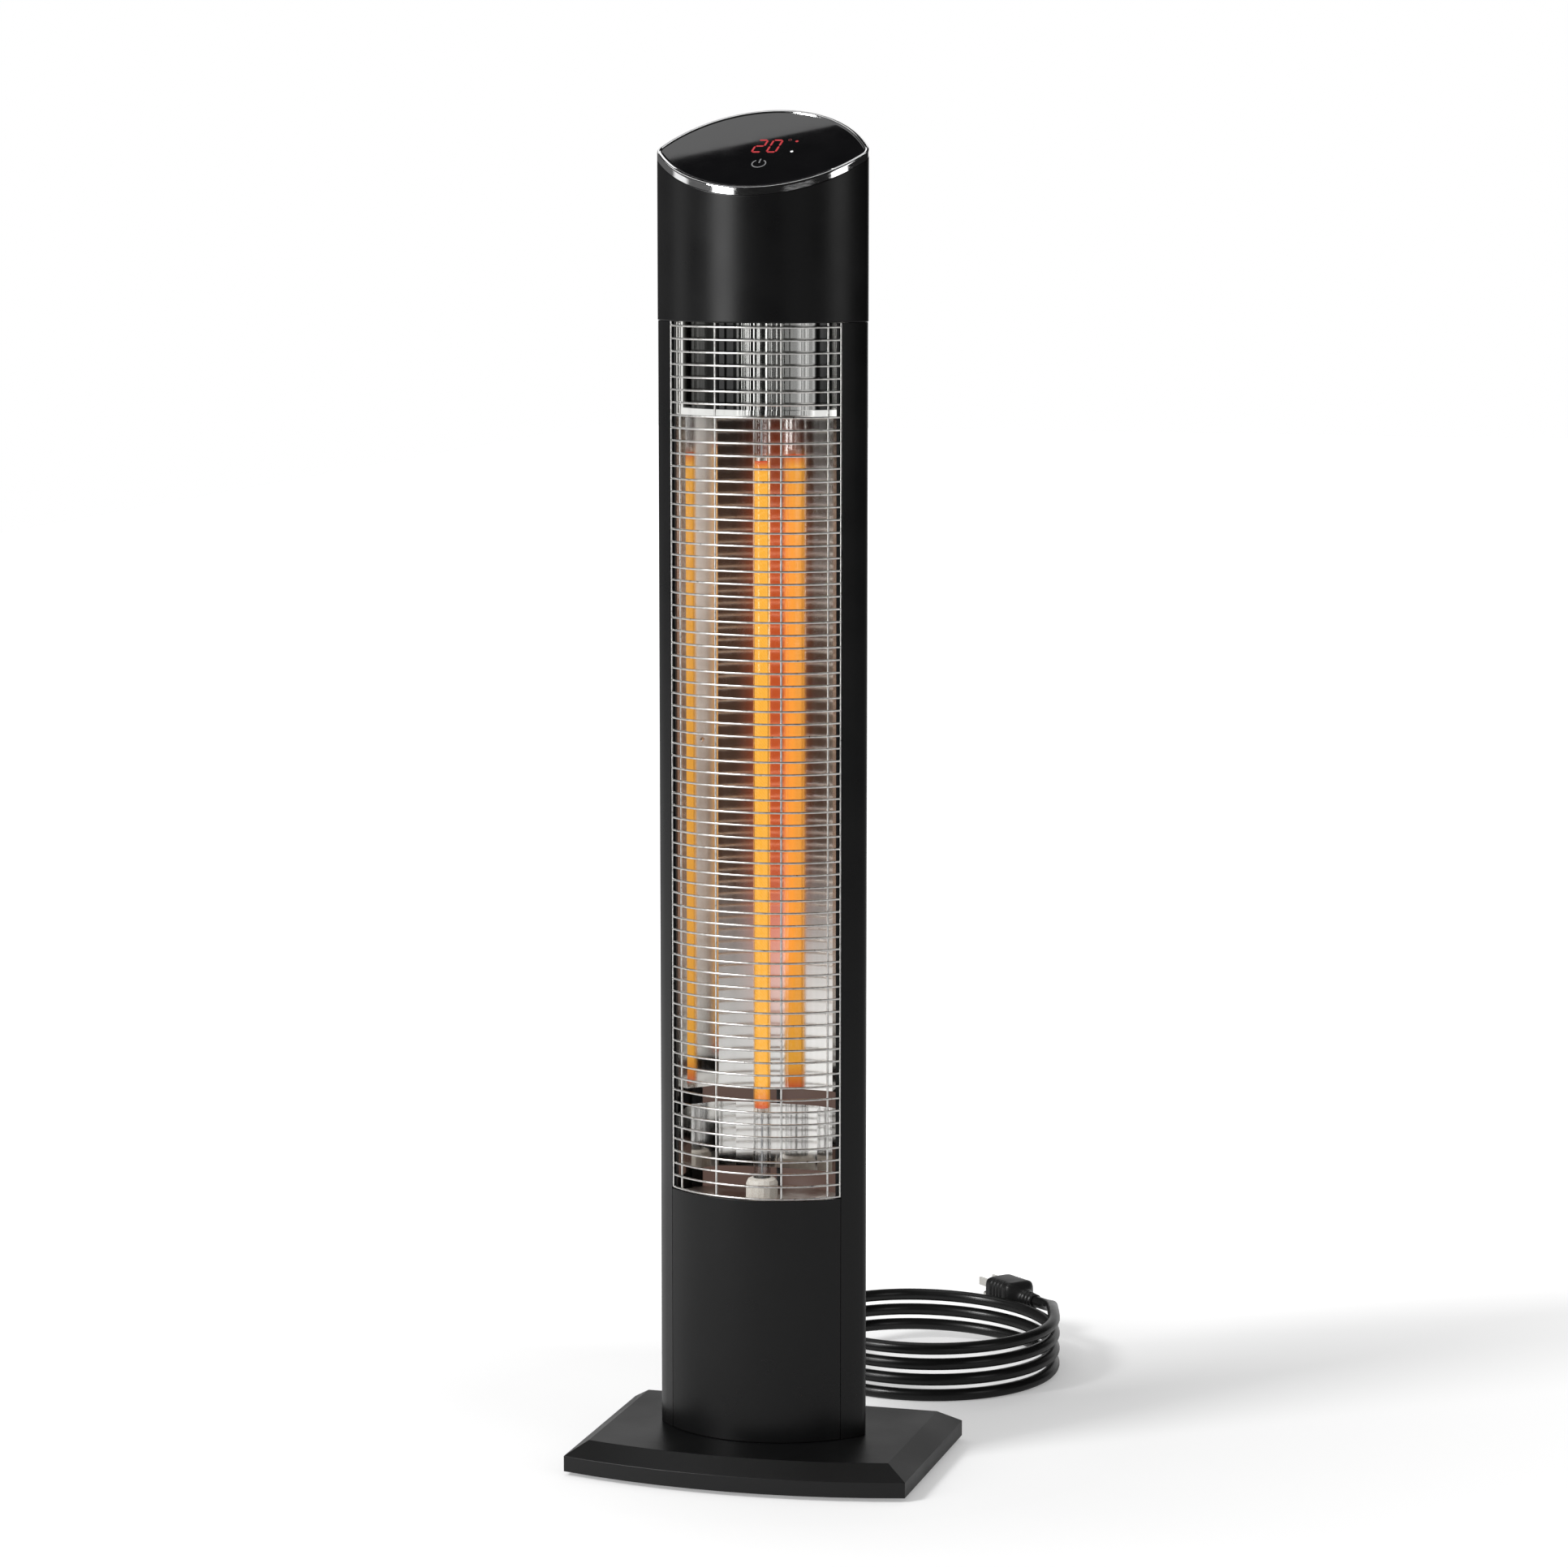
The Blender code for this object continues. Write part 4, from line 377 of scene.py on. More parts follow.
def lens_outline(inset=0):
    """The body's outline seen from above, moved inwards by the inset."""
    corner_x = BODY_WIDTH / 2 - BODY_CORNER_RADIUS
    front_turn = math.atan2(BODY_Y - FRONT_CENTRE_Y, corner_x)
    back_turn = math.atan2(BODY_Y - BACK_CENTRE_Y, corner_x)
    quarter = math.pi / 2
    front = arc(0, FRONT_CENTRE_Y, FRONT_RADIUS - inset, -quarter, front_turn, ARC_STEPS)
    corner = arc(corner_x, BODY_Y, BODY_CORNER_RADIUS - inset, front_turn, back_turn, CORNER_STEPS)
    back = arc(0, BACK_CENTRE_Y, BACK_RADIUS - inset, back_turn, quarter, ARC_STEPS)
    right = front + corner[1:-1] + back
    return right + [(-x, y) for x, y in reversed(right[1:-1])]


def slant_height(y, drop=0):
    return HEAD_TOP - drop + (y - BODY_Y) * math.tan(HEAD_TILT)


def on_slant(outline, drop):
    return [(x, y, slant_height(y, drop)) for x, y in outline]


def at_height(outline, z):
    return [(x, y, z) for x, y in outline]


def circle(centre, side, up, radius, sides):
    """Corners round a centre, in the plane of side and up."""
    return [
        centre + (side * math.cos(turn) + up * math.sin(turn)) * radius
        for turn in spread(0, math.tau, sides)[:-1]
    ]


def tube_rings(points, radius, sides):
    """Rings of corners round a path, each square to it."""
    rings = []
    last = len(points) - 1
    for i, point in enumerate(points):
        ahead = (points[min(i + 1, last)] - points[max(i - 1, 0)]).normalized()
        side = ahead.cross(Vector((0, 0, 1)))
        if side.length < 0.1:
            side = Vector((1, 0, 0))
        side.normalize()
        rings.append(circle(point, side, side.cross(ahead), radius, sides))
    return rings


def show(piece, slot, *nodes, body=BODY):
    """The piece rides on its body and stands for these nodes; the slot argument is not used."""
    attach(piece, body)
    if nodes:
        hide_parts(*nodes)
    return piece


# Finishes
def fill(node, **values):
    """Sets constant values on a node's own sockets."""
    for key, value in values.items():
        node.inputs[key.replace("_", " ").title().replace("Ior", "IOR")].default_value = value


def begin(name, colour, roughness, metallic=0.0, **settings):
    """A new finish with these constant values, and with it its node tree and its shader."""
    made = bpy.data.materials.new(name)
    made.use_nodes = True
    made.diffuse_color = (*colour, 1)
    tree = made.node_tree
    shader = tree.nodes["Principled BSDF"]
    fill(shader, base_color=(*colour, 1), roughness=roughness, metallic=metallic, **settings)
    return made, tree, shader


def feed(shader, socket, value):
    """Links a varying value to one of the shader's sockets."""
    shader.id_data.links.new(value, shader.inputs[socket])


def place(tree, stretch=(1, 1, 1)):
    """The piece's own coordinates in metres, stretched."""
    coordinates = tree.nodes.new("ShaderNodeTexCoord")
    mapping = tree.nodes.new("ShaderNodeMapping")
    fill(mapping, scale=stretch)
    tree.links.new(coordinates.outputs["Object"], mapping.inputs["Vector"])
    return mapping.outputs["Vector"]


def split(tree, where):
    """The three parts of a place or a direction."""
    parts = tree.nodes.new("ShaderNodeSeparateXYZ")
    tree.links.new(where, parts.inputs["Vector"])
    return parts.outputs


def compare(tree, operation, where, constant):
    """How far apart a place and a constant are, or how well two directions agree."""
    made = tree.nodes.new("ShaderNodeVectorMath")
    made.operation = operation
    made.inputs[1].default_value = constant
    tree.links.new(where, made.inputs[0])
    return made.outputs["Value"]


def noise(tree, where, scale, detail=3.0, rough=0.5):
    made = tree.nodes.new("ShaderNodeTexNoise")
    fill(made, scale=scale, detail=detail, roughness=rough)
    tree.links.new(where, made.inputs["Vector"])
    return made.outputs["Fac"]


def cells(tree, where, scale):
    made = tree.nodes.new("ShaderNodeTexVoronoi")
    fill(made, scale=scale)
    tree.links.new(where, made.inputs["Vector"])
    return made.outputs


def colours(tree, value, stops):
    """Turns a value into a colour, with stops of (place, colour)."""
    made = tree.nodes.new("ShaderNodeValToRGB")
    ramp = made.color_ramp
    while len(ramp.elements) < len(stops):
        ramp.elements.new(1)
    for element, (position, colour) in zip(ramp.elements, stops):
        element.position = position
        element.color = (*colour, 1)
    tree.links.new(value, made.inputs["Fac"])
    return made.outputs["Color"]


def between(tree, value, low, high, start=0.3, end=0.7):
    """Goes from low to high while the value goes from start to end."""
    made = tree.nodes.new("ShaderNodeMapRange")
    fill(made, from_min=start, from_max=end, to_min=low, to_max=high)
    tree.links.new(value, made.inputs["Value"])
    return made.outputs["Result"]


def calculate(tree, operation, first, second):
    made = tree.nodes.new("ShaderNodeMath")
    made.operation = operation
    for socket, value in zip(made.inputs, (first, second)):
        if isinstance(value, (int, float)):
            socket.default_value = value
        else:
            tree.links.new(value, socket)
    return made.outputs[0]


def product(tree, first, *others):
    for other in others:
        first = calculate(tree, "MULTIPLY", first, other)
    return first


def largest(tree, first, *others):
    for other in others:
        first = calculate(tree, "MAXIMUM", first, other)
    return first


def window(tree, value, start, full, full_end, end):
    """One from full to full_end, and nothing before start and past end."""
    rise = between(tree, value, 0, 1, start, full)
    return product(tree, rise, between(tree, value, 1, 0, full_end, end))


def blended(tree, share, first, second):
    """A colour between two, by a share that varies over the surface."""
    made = tree.nodes.new("ShaderNodeMix")
    made.data_type = "RGBA"
    tree.links.new(share, made.inputs["Factor"])
    for socket, value in ((made.inputs[6], first), (made.inputs[7], second)):
        if isinstance(value, tuple):
            socket.default_value = (*value, 1)
        else:
            tree.links.new(value, socket)
    return made.outputs[2]


def relief(shader, height, strength, distance):
    tree = shader.id_data
    made = tree.nodes.new("ShaderNodeBump")
    fill(made, strength=strength, distance=distance)
    tree.links.new(height, made.inputs["Height"])
    feed(shader, "Normal", made.outputs["Normal"])


def coat(shader, pattern, dark, light, rough=None, stops=(0.3, 0.7)):
    """Colours a surface from dark to light by a pattern, and its roughness with it."""
    tree = shader.id_data
    feed(shader, "Base Color", colours(tree, pattern, list(zip(stops, (dark, light)))))
    if rough:
        feed(shader, "Roughness", between(tree, pattern, *rough))


def glow(shader, colour, strength=1):
    """Makes the surface give off a colour that varies over it."""
    feed(shader, "Emission Color", colour)
    fill(shader, emission_strength=strength)


def satin_paint(name="satin_paint"):
    """Black powder coat: a fine orange peel, with faint rubbed patches."""
    made, tree, shader = begin(name, (0.005, 0.005, 0.0052), 0.3, specular_ior_level=0.23)
    where = place(tree)
    patches = noise(tree, where, 22, 4)
    coat(shader, patches, (0.0040, 0.0040, 0.0042), (0.0058, 0.0058, 0.0060), (0.26, 0.33))
    relief(shader, noise(tree, where, 900, 2), 0.12, FINE_RELIEF)
    return made


def housing_paint():
    """The column's coat, with painted warm light given off by the inner wall, where the element's
    light falls on it.
    """
    made = satin_paint("housing_paint")
    tree = made.node_tree
    wall = compare(tree, "DISTANCE", place(tree, (1, 1, 0)), (0, BACK_CENTRE_Y, 0))
    inner_start = BACK_RADIUS - 0.6 * HOUSING_WALL
    inner_end = BACK_RADIUS - 0.4 * HOUSING_WALL
    inner = between(tree, wall, 1, 0, inner_start, inner_end)
    low = WALL_GLOW_LOW - WALL_GLOW_FADE
    high = WALL_GLOW_HIGH + WALL_GLOW_FADE
    height = split(tree, place(tree))["Z"]
    lit = product(tree, inner, window(tree, height, low, WALL_GLOW_LOW, WALL_GLOW_HIGH, high))
    # Painted light: the inner wall's band gives off a warm glow of its own.
    glow(tree.nodes["Principled BSDF"], blended(tree, lit, UNLIT, (0.105, 0.066, 0.054)))
    return made


def base_paint():
    """The base's coat, a little coarser than the column's."""
    middling = (0.0025, 0.0025, 0.0027)
    made, tree, shader = begin("base_paint", middling, 0.42, specular_ior_level=0.40)
    where = place(tree)
    patches = noise(tree, where, 14, 4)
    coat(shader, patches, (0.0020, 0.0020, 0.0022), (0.0030, 0.0030, 0.0032), (0.36, 0.45))
    relief(shader, noise(tree, where, 700, 2), 0.16, FINE_RELIEF)
    return made


def black_glass():
    """Gloss black glass with faint smears."""
    made, tree, shader = begin("black_glass", (0.004, 0.004, 0.0045), 0.03, ior=1.5)
    smears = noise(tree, place(tree, (1, 1, 0.6)), 60, 5, 0.6)
    dark = (0.0035, 0.0035, 0.004)
    coat(shader, smears, dark, (0.005, 0.005, 0.0055), (0.015, 0.035), (0.3, 0.8))
    return made


def chrome():
    """Bright plating, faintly brushed along the ring."""
    made, tree, shader = begin("chrome", (0.86, 0.86, 0.87), 0.07, 1)
    brushed = noise(tree, place(tree, (1, 1, 8)), 160, 3)
    coat(shader, brushed, (0.82, 0.82, 0.83), (0.88, 0.88, 0.88), (0.05, 0.11))
    return made


def wire_plating():
    """Plated wire with fine specks."""
    made, tree, shader = begin("wire_plating", (0.74, 0.73, 0.71), 0.2, 1)
    specks = noise(tree, place(tree), 420, 3)
    coat(shader, specks, (0.62, 0.61, 0.59), (0.80, 0.79, 0.77), (0.27, 0.38), (0.3, 0.65))
    return made


def polished_sheet():
    """Bright rolled sheet: upright rolling lines, a brown tint, and painted light: a warm glow by
    the element and a paler painted reflection on its right side.
    """
    made, tree, shader = begin("polished_sheet", (0.70, 0.69, 0.67), 0.14, 1)
    streaks = noise(tree, place(tree, (240, 240, 1.6)), 1, 2)
    haze = noise(tree, place(tree), 18, 3)
    sheet = colours(tree, streaks, [(0.3, (0.67, 0.66, 0.64)), (0.7, (0.74, 0.73, 0.71))])
    parts = split(tree, place(tree))
    aside = calculate(tree, "ABSOLUTE", parts["X"], 0)
    tall = window(tree, parts["Z"], *TINT_HEIGHT)
    middle = between(tree, aside, 1, 0, *TINT_ACROSS)
    patchy = product(tree, middle, tall, TINT_SHARE, between(tree, haze, 0.75, 1.1))
    feed(shader, "Base Color", blended(tree, patchy, sheet, (0.42, 0.24, 0.12)))
    # Painted light: the sheet gives off a red glow near the element, dim brown elsewhere and a
    # paler glow on its right side.
    near = between(tree, aside, 1, 0, *RED_ACROSS)
    right_side = between(tree, parts["X"], 0, 1, *RIGHT_SIDE_ACROSS)
    dull = blended(tree, right_side, (0.050, 0.024, 0.014), (0.13, 0.095, 0.070))
    warm = blended(tree, product(tree, near, near), dull, (0.50, 0.075, 0.014))
    glow(shader, blended(tree, tall, UNLIT, warm))
    rough = calculate(tree, "ADD", between(tree, streaks, 0.05, 0.08), between(tree, haze, 0, 0.03))
    feed(shader, "Roughness", rough)
    relief(shader, streaks, 0.02, FINE_RELIEF)
    return made


def worn_sheet():
    """The chamber floor's sheet, duller than the reflectors and browned in patches."""
    made, tree, shader = begin("worn_sheet", (0.55, 0.50, 0.47), 0.4, 1)
    patches = noise(tree, place(tree), 45, 3)
    coat(shader, patches, (0.42, 0.33, 0.29), (0.66, 0.63, 0.60), (0.30, 0.50), (0.35, 0.6))
    return made


def drawn_cover():
    """Bright sheet with upright draw lines; the duller and brighter bands across it are painted
    shade and painted reflection, and its lip, left corner and one band give off painted light.
    """
    made, tree, shader = begin("drawn_cover", (0.34, 0.34, 0.33), 0.14, 1)
    lines = noise(tree, place(tree, (260, 0, 0.6)), 1, 2, 0.6)
    bright = colours(tree, lines, [(0.3, (0.27, 0.27, 0.26)), (0.7, (0.42, 0.42, 0.41))])
    feed(shader, "Roughness", between(tree, lines, 0.10, 0.20))
    parts = split(tree, place(tree))
    across = parts["X"]
    # Painted shade and painted reflection: the colour turns darker and brighter in bands across the
    # cover, standing for the reflections and shade on it.
    dark = between(tree, across, 0, 1, *COVER_DARK)
    shade = blended(tree, dark, (0.115, 0.115, 0.11), (0.010, 0.010, 0.010))
    shade = blended(tree, between(tree, across, 0, 1, *COVER_BRIGHT), shade, bright)
    painted_bright_band = between(tree, across, 0, 1, *COVER_PAINTED_BRIGHT)
    shade = blended(tree, painted_bright_band, shade, (0.85, 0.85, 0.83))
    shade = blended(tree, between(tree, across, 0, 1, *COVER_PAINTED_DARK), shade, (0.03, 0.03, 0.03))
    shade = blended(tree, between(tree, across, 0, 1, *COVER_RIM), shade, (0.70, 0.70, 0.68))
    feed(shader, "Base Color", shade)
    ribs_start = between(tree, across, 0.05, 1, *COVER_RIBS_START)
    ribs = product(tree, ribs_start, between(tree, across, 1, 0.12, *COVER_RIBS_END))
    relief(shader, product(tree, lines, ribs), 1.0, RIB_RELIEF)
    # Painted highlights: the lip's two ends, the left corner and the bright band give off light of
    # their own.
    lip = between(tree, parts["Z"], 1, 0, COVER_LIP_TOP, COVER_LIP_TOP + COVER_LIP_FADE)
    left = between(tree, across, 1, 0, *LIP_LEFT_END)
    right = between(tree, across, 0, 1, *LIP_RIGHT_START)
    lit = product(tree, lip, largest(tree, left, right))
    sheen = product(tree, painted_bright_band, between(tree, across, 0.30, 0, *COVER_SHEEN_END))
    lit = largest(tree, lit, window(tree, across, *COVER_CORNER), sheen)
    glow(shader, blended(tree, lit, UNLIT, (0.75, 0.75, 0.73)))
    return made


def zinc():
    """Zinc plating with fine flakes."""
    made, tree, shader = begin("zinc", (0.55, 0.56, 0.57), 0.35, 1)
    where = place(tree)
    flakes = cells(tree, where, 500)["Color"]
    coat(shader, flakes, (0.46, 0.47, 0.49), (0.62, 0.63, 0.64), stops=(0, 1))
    feed(shader, "Roughness", between(tree, noise(tree, where, 300), 0.28, 0.42))
    return made


def nickel():
    """Plated pins with lines along them."""
    made, tree, shader = begin("nickel", (0.75, 0.74, 0.70), 0.16, 1)
    lines = noise(tree, place(tree, (200, 200, 1200)), 1, 2)
    coat(shader, lines, (0.68, 0.66, 0.62), (0.80, 0.79, 0.75), (0.12, 0.24))
    return made


def ceramic():
    """Pale ceramic with fine specks."""
    made, tree, shader = begin("ceramic", (0.80, 0.77, 0.71), 0.5)
    specks = noise(tree, place(tree), 1500, 3)
    coat(shader, specks, (0.70, 0.66, 0.58), (0.84, 0.81, 0.75), (0.42, 0.6), (0.35, 0.6))
    relief(shader, specks, 0.1, 0.0001)
    return made


def lit_quartz():
    """Clear quartz, faintly amber where the element's light runs in its wall."""
    clear = (0.97, 0.97, 0.97)
    made, tree, shader = begin("lit_quartz", clear, 0.02, ior=1.46, transmission_weight=1.0)
    height = split(tree, place(tree))["Z"]
    low = ELEMENT_BOTTOM - GLOW_FADE
    high = ELEMENT_TOP + GLOW_FADE
    share = window(tree, height, low, ELEMENT_BOTTOM + GLOW_FADE, ELEMENT_TOP - GLOW_FADE, high)
    flicker = noise(tree, place(tree, (60, 60, 30)), 1, 2)
    amber = colours(tree, flicker, [(0.3, (0.95, 0.42, 0.045)), (0.7, (1.0, 0.48, 0.06))])
    glow(shader, blended(tree, share, UNLIT, amber), 0.06)
    feed(shader, "Base Color", blended(tree, share, clear, (0.98, 0.95, 0.90)))
    return made


def glowing_carbon():
    """Woven carbon at red heat, brighter where the strands stand up, and redder at its ends."""
    made, tree, shader = begin("glowing_carbon", (0.02, 0.015, 0.01), 0.7)
    weave = tree.nodes.new("ShaderNodeTexWave")
    weave.bands_direction = "DIAGONAL"
    fill(weave, scale=260, distortion=1.5)
    tree.links.new(place(tree), weave.inputs["Vector"])
    strands = weave.outputs["Fac"]
    heat = colours(tree, strands, [(0.2, (0.93, 0.44, 0.048)), (0.8, (1.0, 0.50, 0.066))])
    height = split(tree, place(tree))["Z"]
    low = ELEMENT_BOTTOM + RED_END_LOW
    inner = window(tree, height, ELEMENT_BOTTOM, low, ELEMENT_TOP - RED_END_HIGH, ELEMENT_TOP)
    glow(shader, blended(tree, inner, (0.60, 0.055, 0.03), heat), 0.95)
    relief(shader, strands, 0.3, 0.0003)
    return made


def circuit_board():
    """Green board with paler tracks."""
    made, tree, shader = begin("circuit_board", (0.03, 0.14, 0.06), 0.4)
    tracks = tree.nodes.new("ShaderNodeTexBrick")
    fill(tracks, scale=130, mortar_size=0.06, mortar=(0.30, 0.24, 0.10, 1))
    fill(tracks, color1=(0.02, 0.11, 0.045, 1), color2=(0.03, 0.16, 0.07, 1))
    tree.links.new(place(tree), tracks.inputs["Vector"])
    feed(shader, "Base Color", tracks.outputs["Color"])
    relief(shader, tracks.outputs["Fac"], 0.2, FINE_RELIEF)
    return made


def lead_vinyl(name="lead_vinyl", dark=0.006, light=0.009, rough=0.30, grain=700):
    """Soft black vinyl, glossy, with a fine drawn grain."""
    made, tree, shader = begin(name, (light, light, light), rough, specular_ior_level=0.34)
    where = place(tree)
    broad = noise(tree, where, 40, 3)
    rough_ends = (rough - 0.04, rough + 0.06)
    coat(shader, broad, (dark, dark, dark), (light, light, light), rough_ends)
    relief(shader, noise(tree, where, grain, 2), 0.08, FINE_RELIEF)
    return made


def black_plastic():
    """Moulded black plastic with a spark-eroded grain."""
    made, tree, shader = begin("black_plastic", (0.02, 0.02, 0.021), 0.5)
    where = place(tree)
    pits = cells(tree, where, 1400)["Distance"]
    coat(shader, pits, (0.015, 0.015, 0.016), (0.023, 0.023, 0.024), stops=(0.1, 0.6))
    feed(shader, "Roughness", between(tree, noise(tree, where, 30), 0.45, 0.58))
    relief(shader, pits, 0.2, FINE_RELIEF)
    return made


def cast_iron():
    """Rough iron with a sandy skin."""
    made, tree, shader = begin("cast_iron", (0.06, 0.06, 0.065), 0.6, 0.4)
    sand = noise(tree, place(tree), 500, 4, 0.7)
    coat(shader, sand, (0.04, 0.04, 0.043), (0.08, 0.078, 0.08))
    relief(shader, sand, 0.4, 0.0005)
    return made


def lit_mark(name, colour, strength):
    """A printed or lit mark; its light is a little uneven over its width."""
    made, tree, shader = begin(name, colour, 0.5)
    uneven = noise(tree, place(tree), 900, 2)
    dim = tuple(0.86 * c for c in colour)
    shade = colours(tree, uneven, [(0.3, dim), (0.7, colour)])
    glow(shader, shade, strength)
    feed(shader, "Base Color", shade)
    return made


def repaint(finish, *names):
    for name in names:
        for holder in NODES[name].material_slots:
            holder.material = finish


# Camera and mains lead
def make_camera():
    data = bpy.data.cameras.new("camera")
    data.sensor_width = CAMERA_SENSOR
    data.lens = CAMERA_LENS
    camera = add_object("camera", data)
    camera.location = CAMERA_PLACE
    camera.rotation_mode = "QUATERNION"
    camera.rotation_quaternion = (CAMERA_TARGET - CAMERA_PLACE).to_track_quat("-Z", "Y")
    bpy.context.scene.camera = camera


def exit_heading():
    return Vector((0, math.cos(EXIT_TILT), -math.sin(EXIT_TILT)))


def exit_point(distance):
    return EXIT_PLACE + exit_heading() * distance


def heading(angle):
    return Vector((-math.sin(angle), math.cos(angle), 0))


def smooth_route(route, steps):
    """A smooth curve through the route's points, with this many steps between neighbours."""
    padded = [2 * route[0] - route[1], *route, 2 * route[-1] - route[-2]]
    fine = [route[0]]
    for i in range(1, len(padded) - 2):
        before, here, after, beyond = padded[i - 1 : i + 3]
        for share in spread(0, 1, steps)[1:]:
            square = share * share
            cube = square * share
            fine.append(
                (
                    2 * here
                    + (after - before) * share
                    + (2 * before - 5 * here + 4 * after - beyond) * square
                    + (3 * here - before - 3 * after + beyond) * cube
                )
                / 2
            )
    return fine


def coil_height(angle):
    climb = COIL_PITCH * (angle - COIL_START) / math.tau
    return CORD_RADIUS + climb - COIL_TILT * (math.cos(angle) - math.cos(COIL_START))


def plug_heading():
    return heading(COIL_LEAVE + COIL_END_SWEEP)


def coil_points():
    """The coil's turns, its run-out, and its rise and bend to the plug."""
    step = math.tau / COIL_STEPS
    points = []
    for angle in spread(COIL_START, COIL_LEAVE, round((COIL_LEAVE - COIL_START) / step)):
        across = COIL_RADIUS * math.cos(angle)
        along = COIL_RADIUS * math.sin(angle)
        points.append(Vector((COIL_X + across, COIL_Y + along, coil_height(angle))))
    lead_in = points[0] - heading(COIL_START) * (2 * CORD_RADIUS)
    run_start = points[-1]
    run_end = run_start + heading(COIL_LEAVE) * COIL_RUN_OUT
    side = Vector((math.cos(COIL_LEAVE), math.sin(COIL_LEAVE), 0))
    end_centre = run_end - side * COIL_END_RADIUS
    end = [run_start.lerp(run_end, share) for share in spread(0, 1, RUN_OUT_STEPS)[1:]]
    for angle in spread(COIL_LEAVE, COIL_LEAVE + COIL_END_SWEEP, COIL_END_STEPS)[1:]:
        offset = Vector((math.cos(angle), math.sin(angle), 0)) * COIL_END_RADIUS
        end.append(end_centre + offset)
    fall = PLUG_AXIS_Z - run_start.z
    for i, point in enumerate(end):
        point.z = run_start.z + fall * ease((i + 1) / len(end))
    lead_out = end[-1] + plug_heading() * (2 * CORD_RADIUS)
    return [lead_in, *points, *end, lead_out]


def lead_points():
    """The whole lead's path, from the strain relief to the plug."""
    coil = coil_points()
    start_heading = heading(COIL_START)
    tail_end = coil[0] - start_heading * SEAT_GAP
    route = [
        exit_point(BOOT_LENGTH + SEAT_GAP + 2 * CORD_RADIUS),
        *[Vector(point) for point in TAIL_ROUTE],
        tail_end - start_heading * (2 * CORD_RADIUS),
    ]
    return [exit_point(BOOT_LENGTH + SEAT_GAP), *smooth_route(route, ROUTE_STEPS), *coil]


def make_lead(finish):
    points = lead_points()
    data = bpy.data.curves.new("mains_lead", "CURVE")
    data.dimensions = "3D"
    data.bevel_depth = CORD_RADIUS
    data.bevel_resolution = CORD_BEVEL
    data.use_fill_caps = True
    spline = data.splines.new("POLY")
    spline.points.add(len(points) - 1)
    for knot, point in zip(spline.points, points):
        knot.co = (*point, 1)
    spline.use_smooth = True
    data.materials.append(finish)
    lead = add_object("mains_lead", data)
    show(lead, "black_rubber", "cord_tail", "cord_coil")
    return lead, points


def make_strain_relief(finish):
    """The lead's strain relief: a plug in the wall, a collar and a tapered tail with round ribs."""
    stations = [(-BOOT_INNER_LENGTH, BOOT_RADIUS)]
    stations += [(BOOT_COLLAR - BOOT_EDGE, BOOT_RADIUS), (BOOT_COLLAR, BOOT_RADIUS - BOOT_EDGE / 2)]
    for share in spread(0, 1, BOOT_RIB_STEPS * BOOT_RIBS)[1:]:
        taper = mix(BOOT_RADIUS, BOOT_END_RADIUS, share)
        along = mix(BOOT_COLLAR, BOOT_LENGTH, share)
        stations.append((along, taper - BOOT_RIB_DEPTH * wave(share * BOOT_RIBS)))
    ahead = exit_heading()
    side = Vector((1, 0, 0))
    up = side.cross(ahead)
    rings = [circle(exit_point(along), side, up, radius, BOOT_SIDES) for along, radius in stations]
    show(loft("strain_relief", rings, finish), "black_rubber", "cord_boot")


def plug_section(distance):
    """Width, height and squareness of the plug at a distance from its cord end."""
    neck = PLUG_NECK_LENGTH
    end = neck + PLUG_LENGTH
    taper_end = neck * PLUG_TAPER_SHARE
    shoulder = neck + PLUG_LENGTH / 4
    if distance <= taper_end:
        share = distance / taper_end
        groove = PLUG_NECK_GROOVE * wave(share * PLUG_NECK_GROOVES)
        across = 2 * mix(PLUG_NECK_RADIUS, PLUG_NECK_END_RADIUS, share) - groove
        return across, across, PLUG_NECK_SQUARENESS
    swell = ease((distance - taper_end) / (shoulder - taper_end))
    width = mix(2 * PLUG_NECK_END_RADIUS, PLUG_WIDTH, swell)
    height = mix(2 * PLUG_NECK_END_RADIUS, PLUG_HEIGHT, swell)
    grip_start = shoulder + PLUG_GRIP_START
    grip_end = end - PLUG_GRIP_END
    if grip_start < distance < grip_end:
        share = (distance - grip_start) / (grip_end - grip_start)
        width -= PLUG_GRIP_DEPTH * wave(share * PLUG_GRIPS)
    over = max(0, distance - (end - PLUG_EDGE))
    inset = PLUG_EDGE - math.sqrt(max(0, PLUG_EDGE**2 - over**2))
    return width - 2 * inset, height - 2 * inset, mix(PLUG_NECK_SQUARENESS, PLUG_SQUARENESS, swell)


def make_plug(finish):
    """The moulded plug: a grooved neck, a swelling shoulder, grips on its sides, a rounded face."""
    start = coil_points()[-1] + plug_heading() * SEAT_GAP
    ahead = plug_heading()
    side = Vector((-ahead.y, ahead.x, 0))
    up = Vector((0, 0, 1))
    end = PLUG_NECK_LENGTH + PLUG_LENGTH
    stations = spread(0, end - PLUG_EDGE, PLUG_STEPS)
    stations += spread(end - PLUG_EDGE, end, PLUG_EDGE_STEPS)[1:]
    rings = []
    for distance in stations:
        width, height, squareness = plug_section(distance)
        ring = []
        for turn in spread(0, math.tau, PLUG_SIDES)[:-1]:
            cos = math.cos(turn)
            sin = math.sin(turn)
            across = math.copysign(abs(cos) ** (2 / squareness), cos) * width / 2
            rise = math.copysign(abs(sin) ** (2 / squareness), sin) * height / 2
            ring.append(start + ahead * distance + side * across + up * rise)
        rings.append(ring)
    plug = loft("plug_moulding", rings, finish, smooth_angle=ROUND_ANGLE)
    return show(plug, "black_rubber", "plug_body")


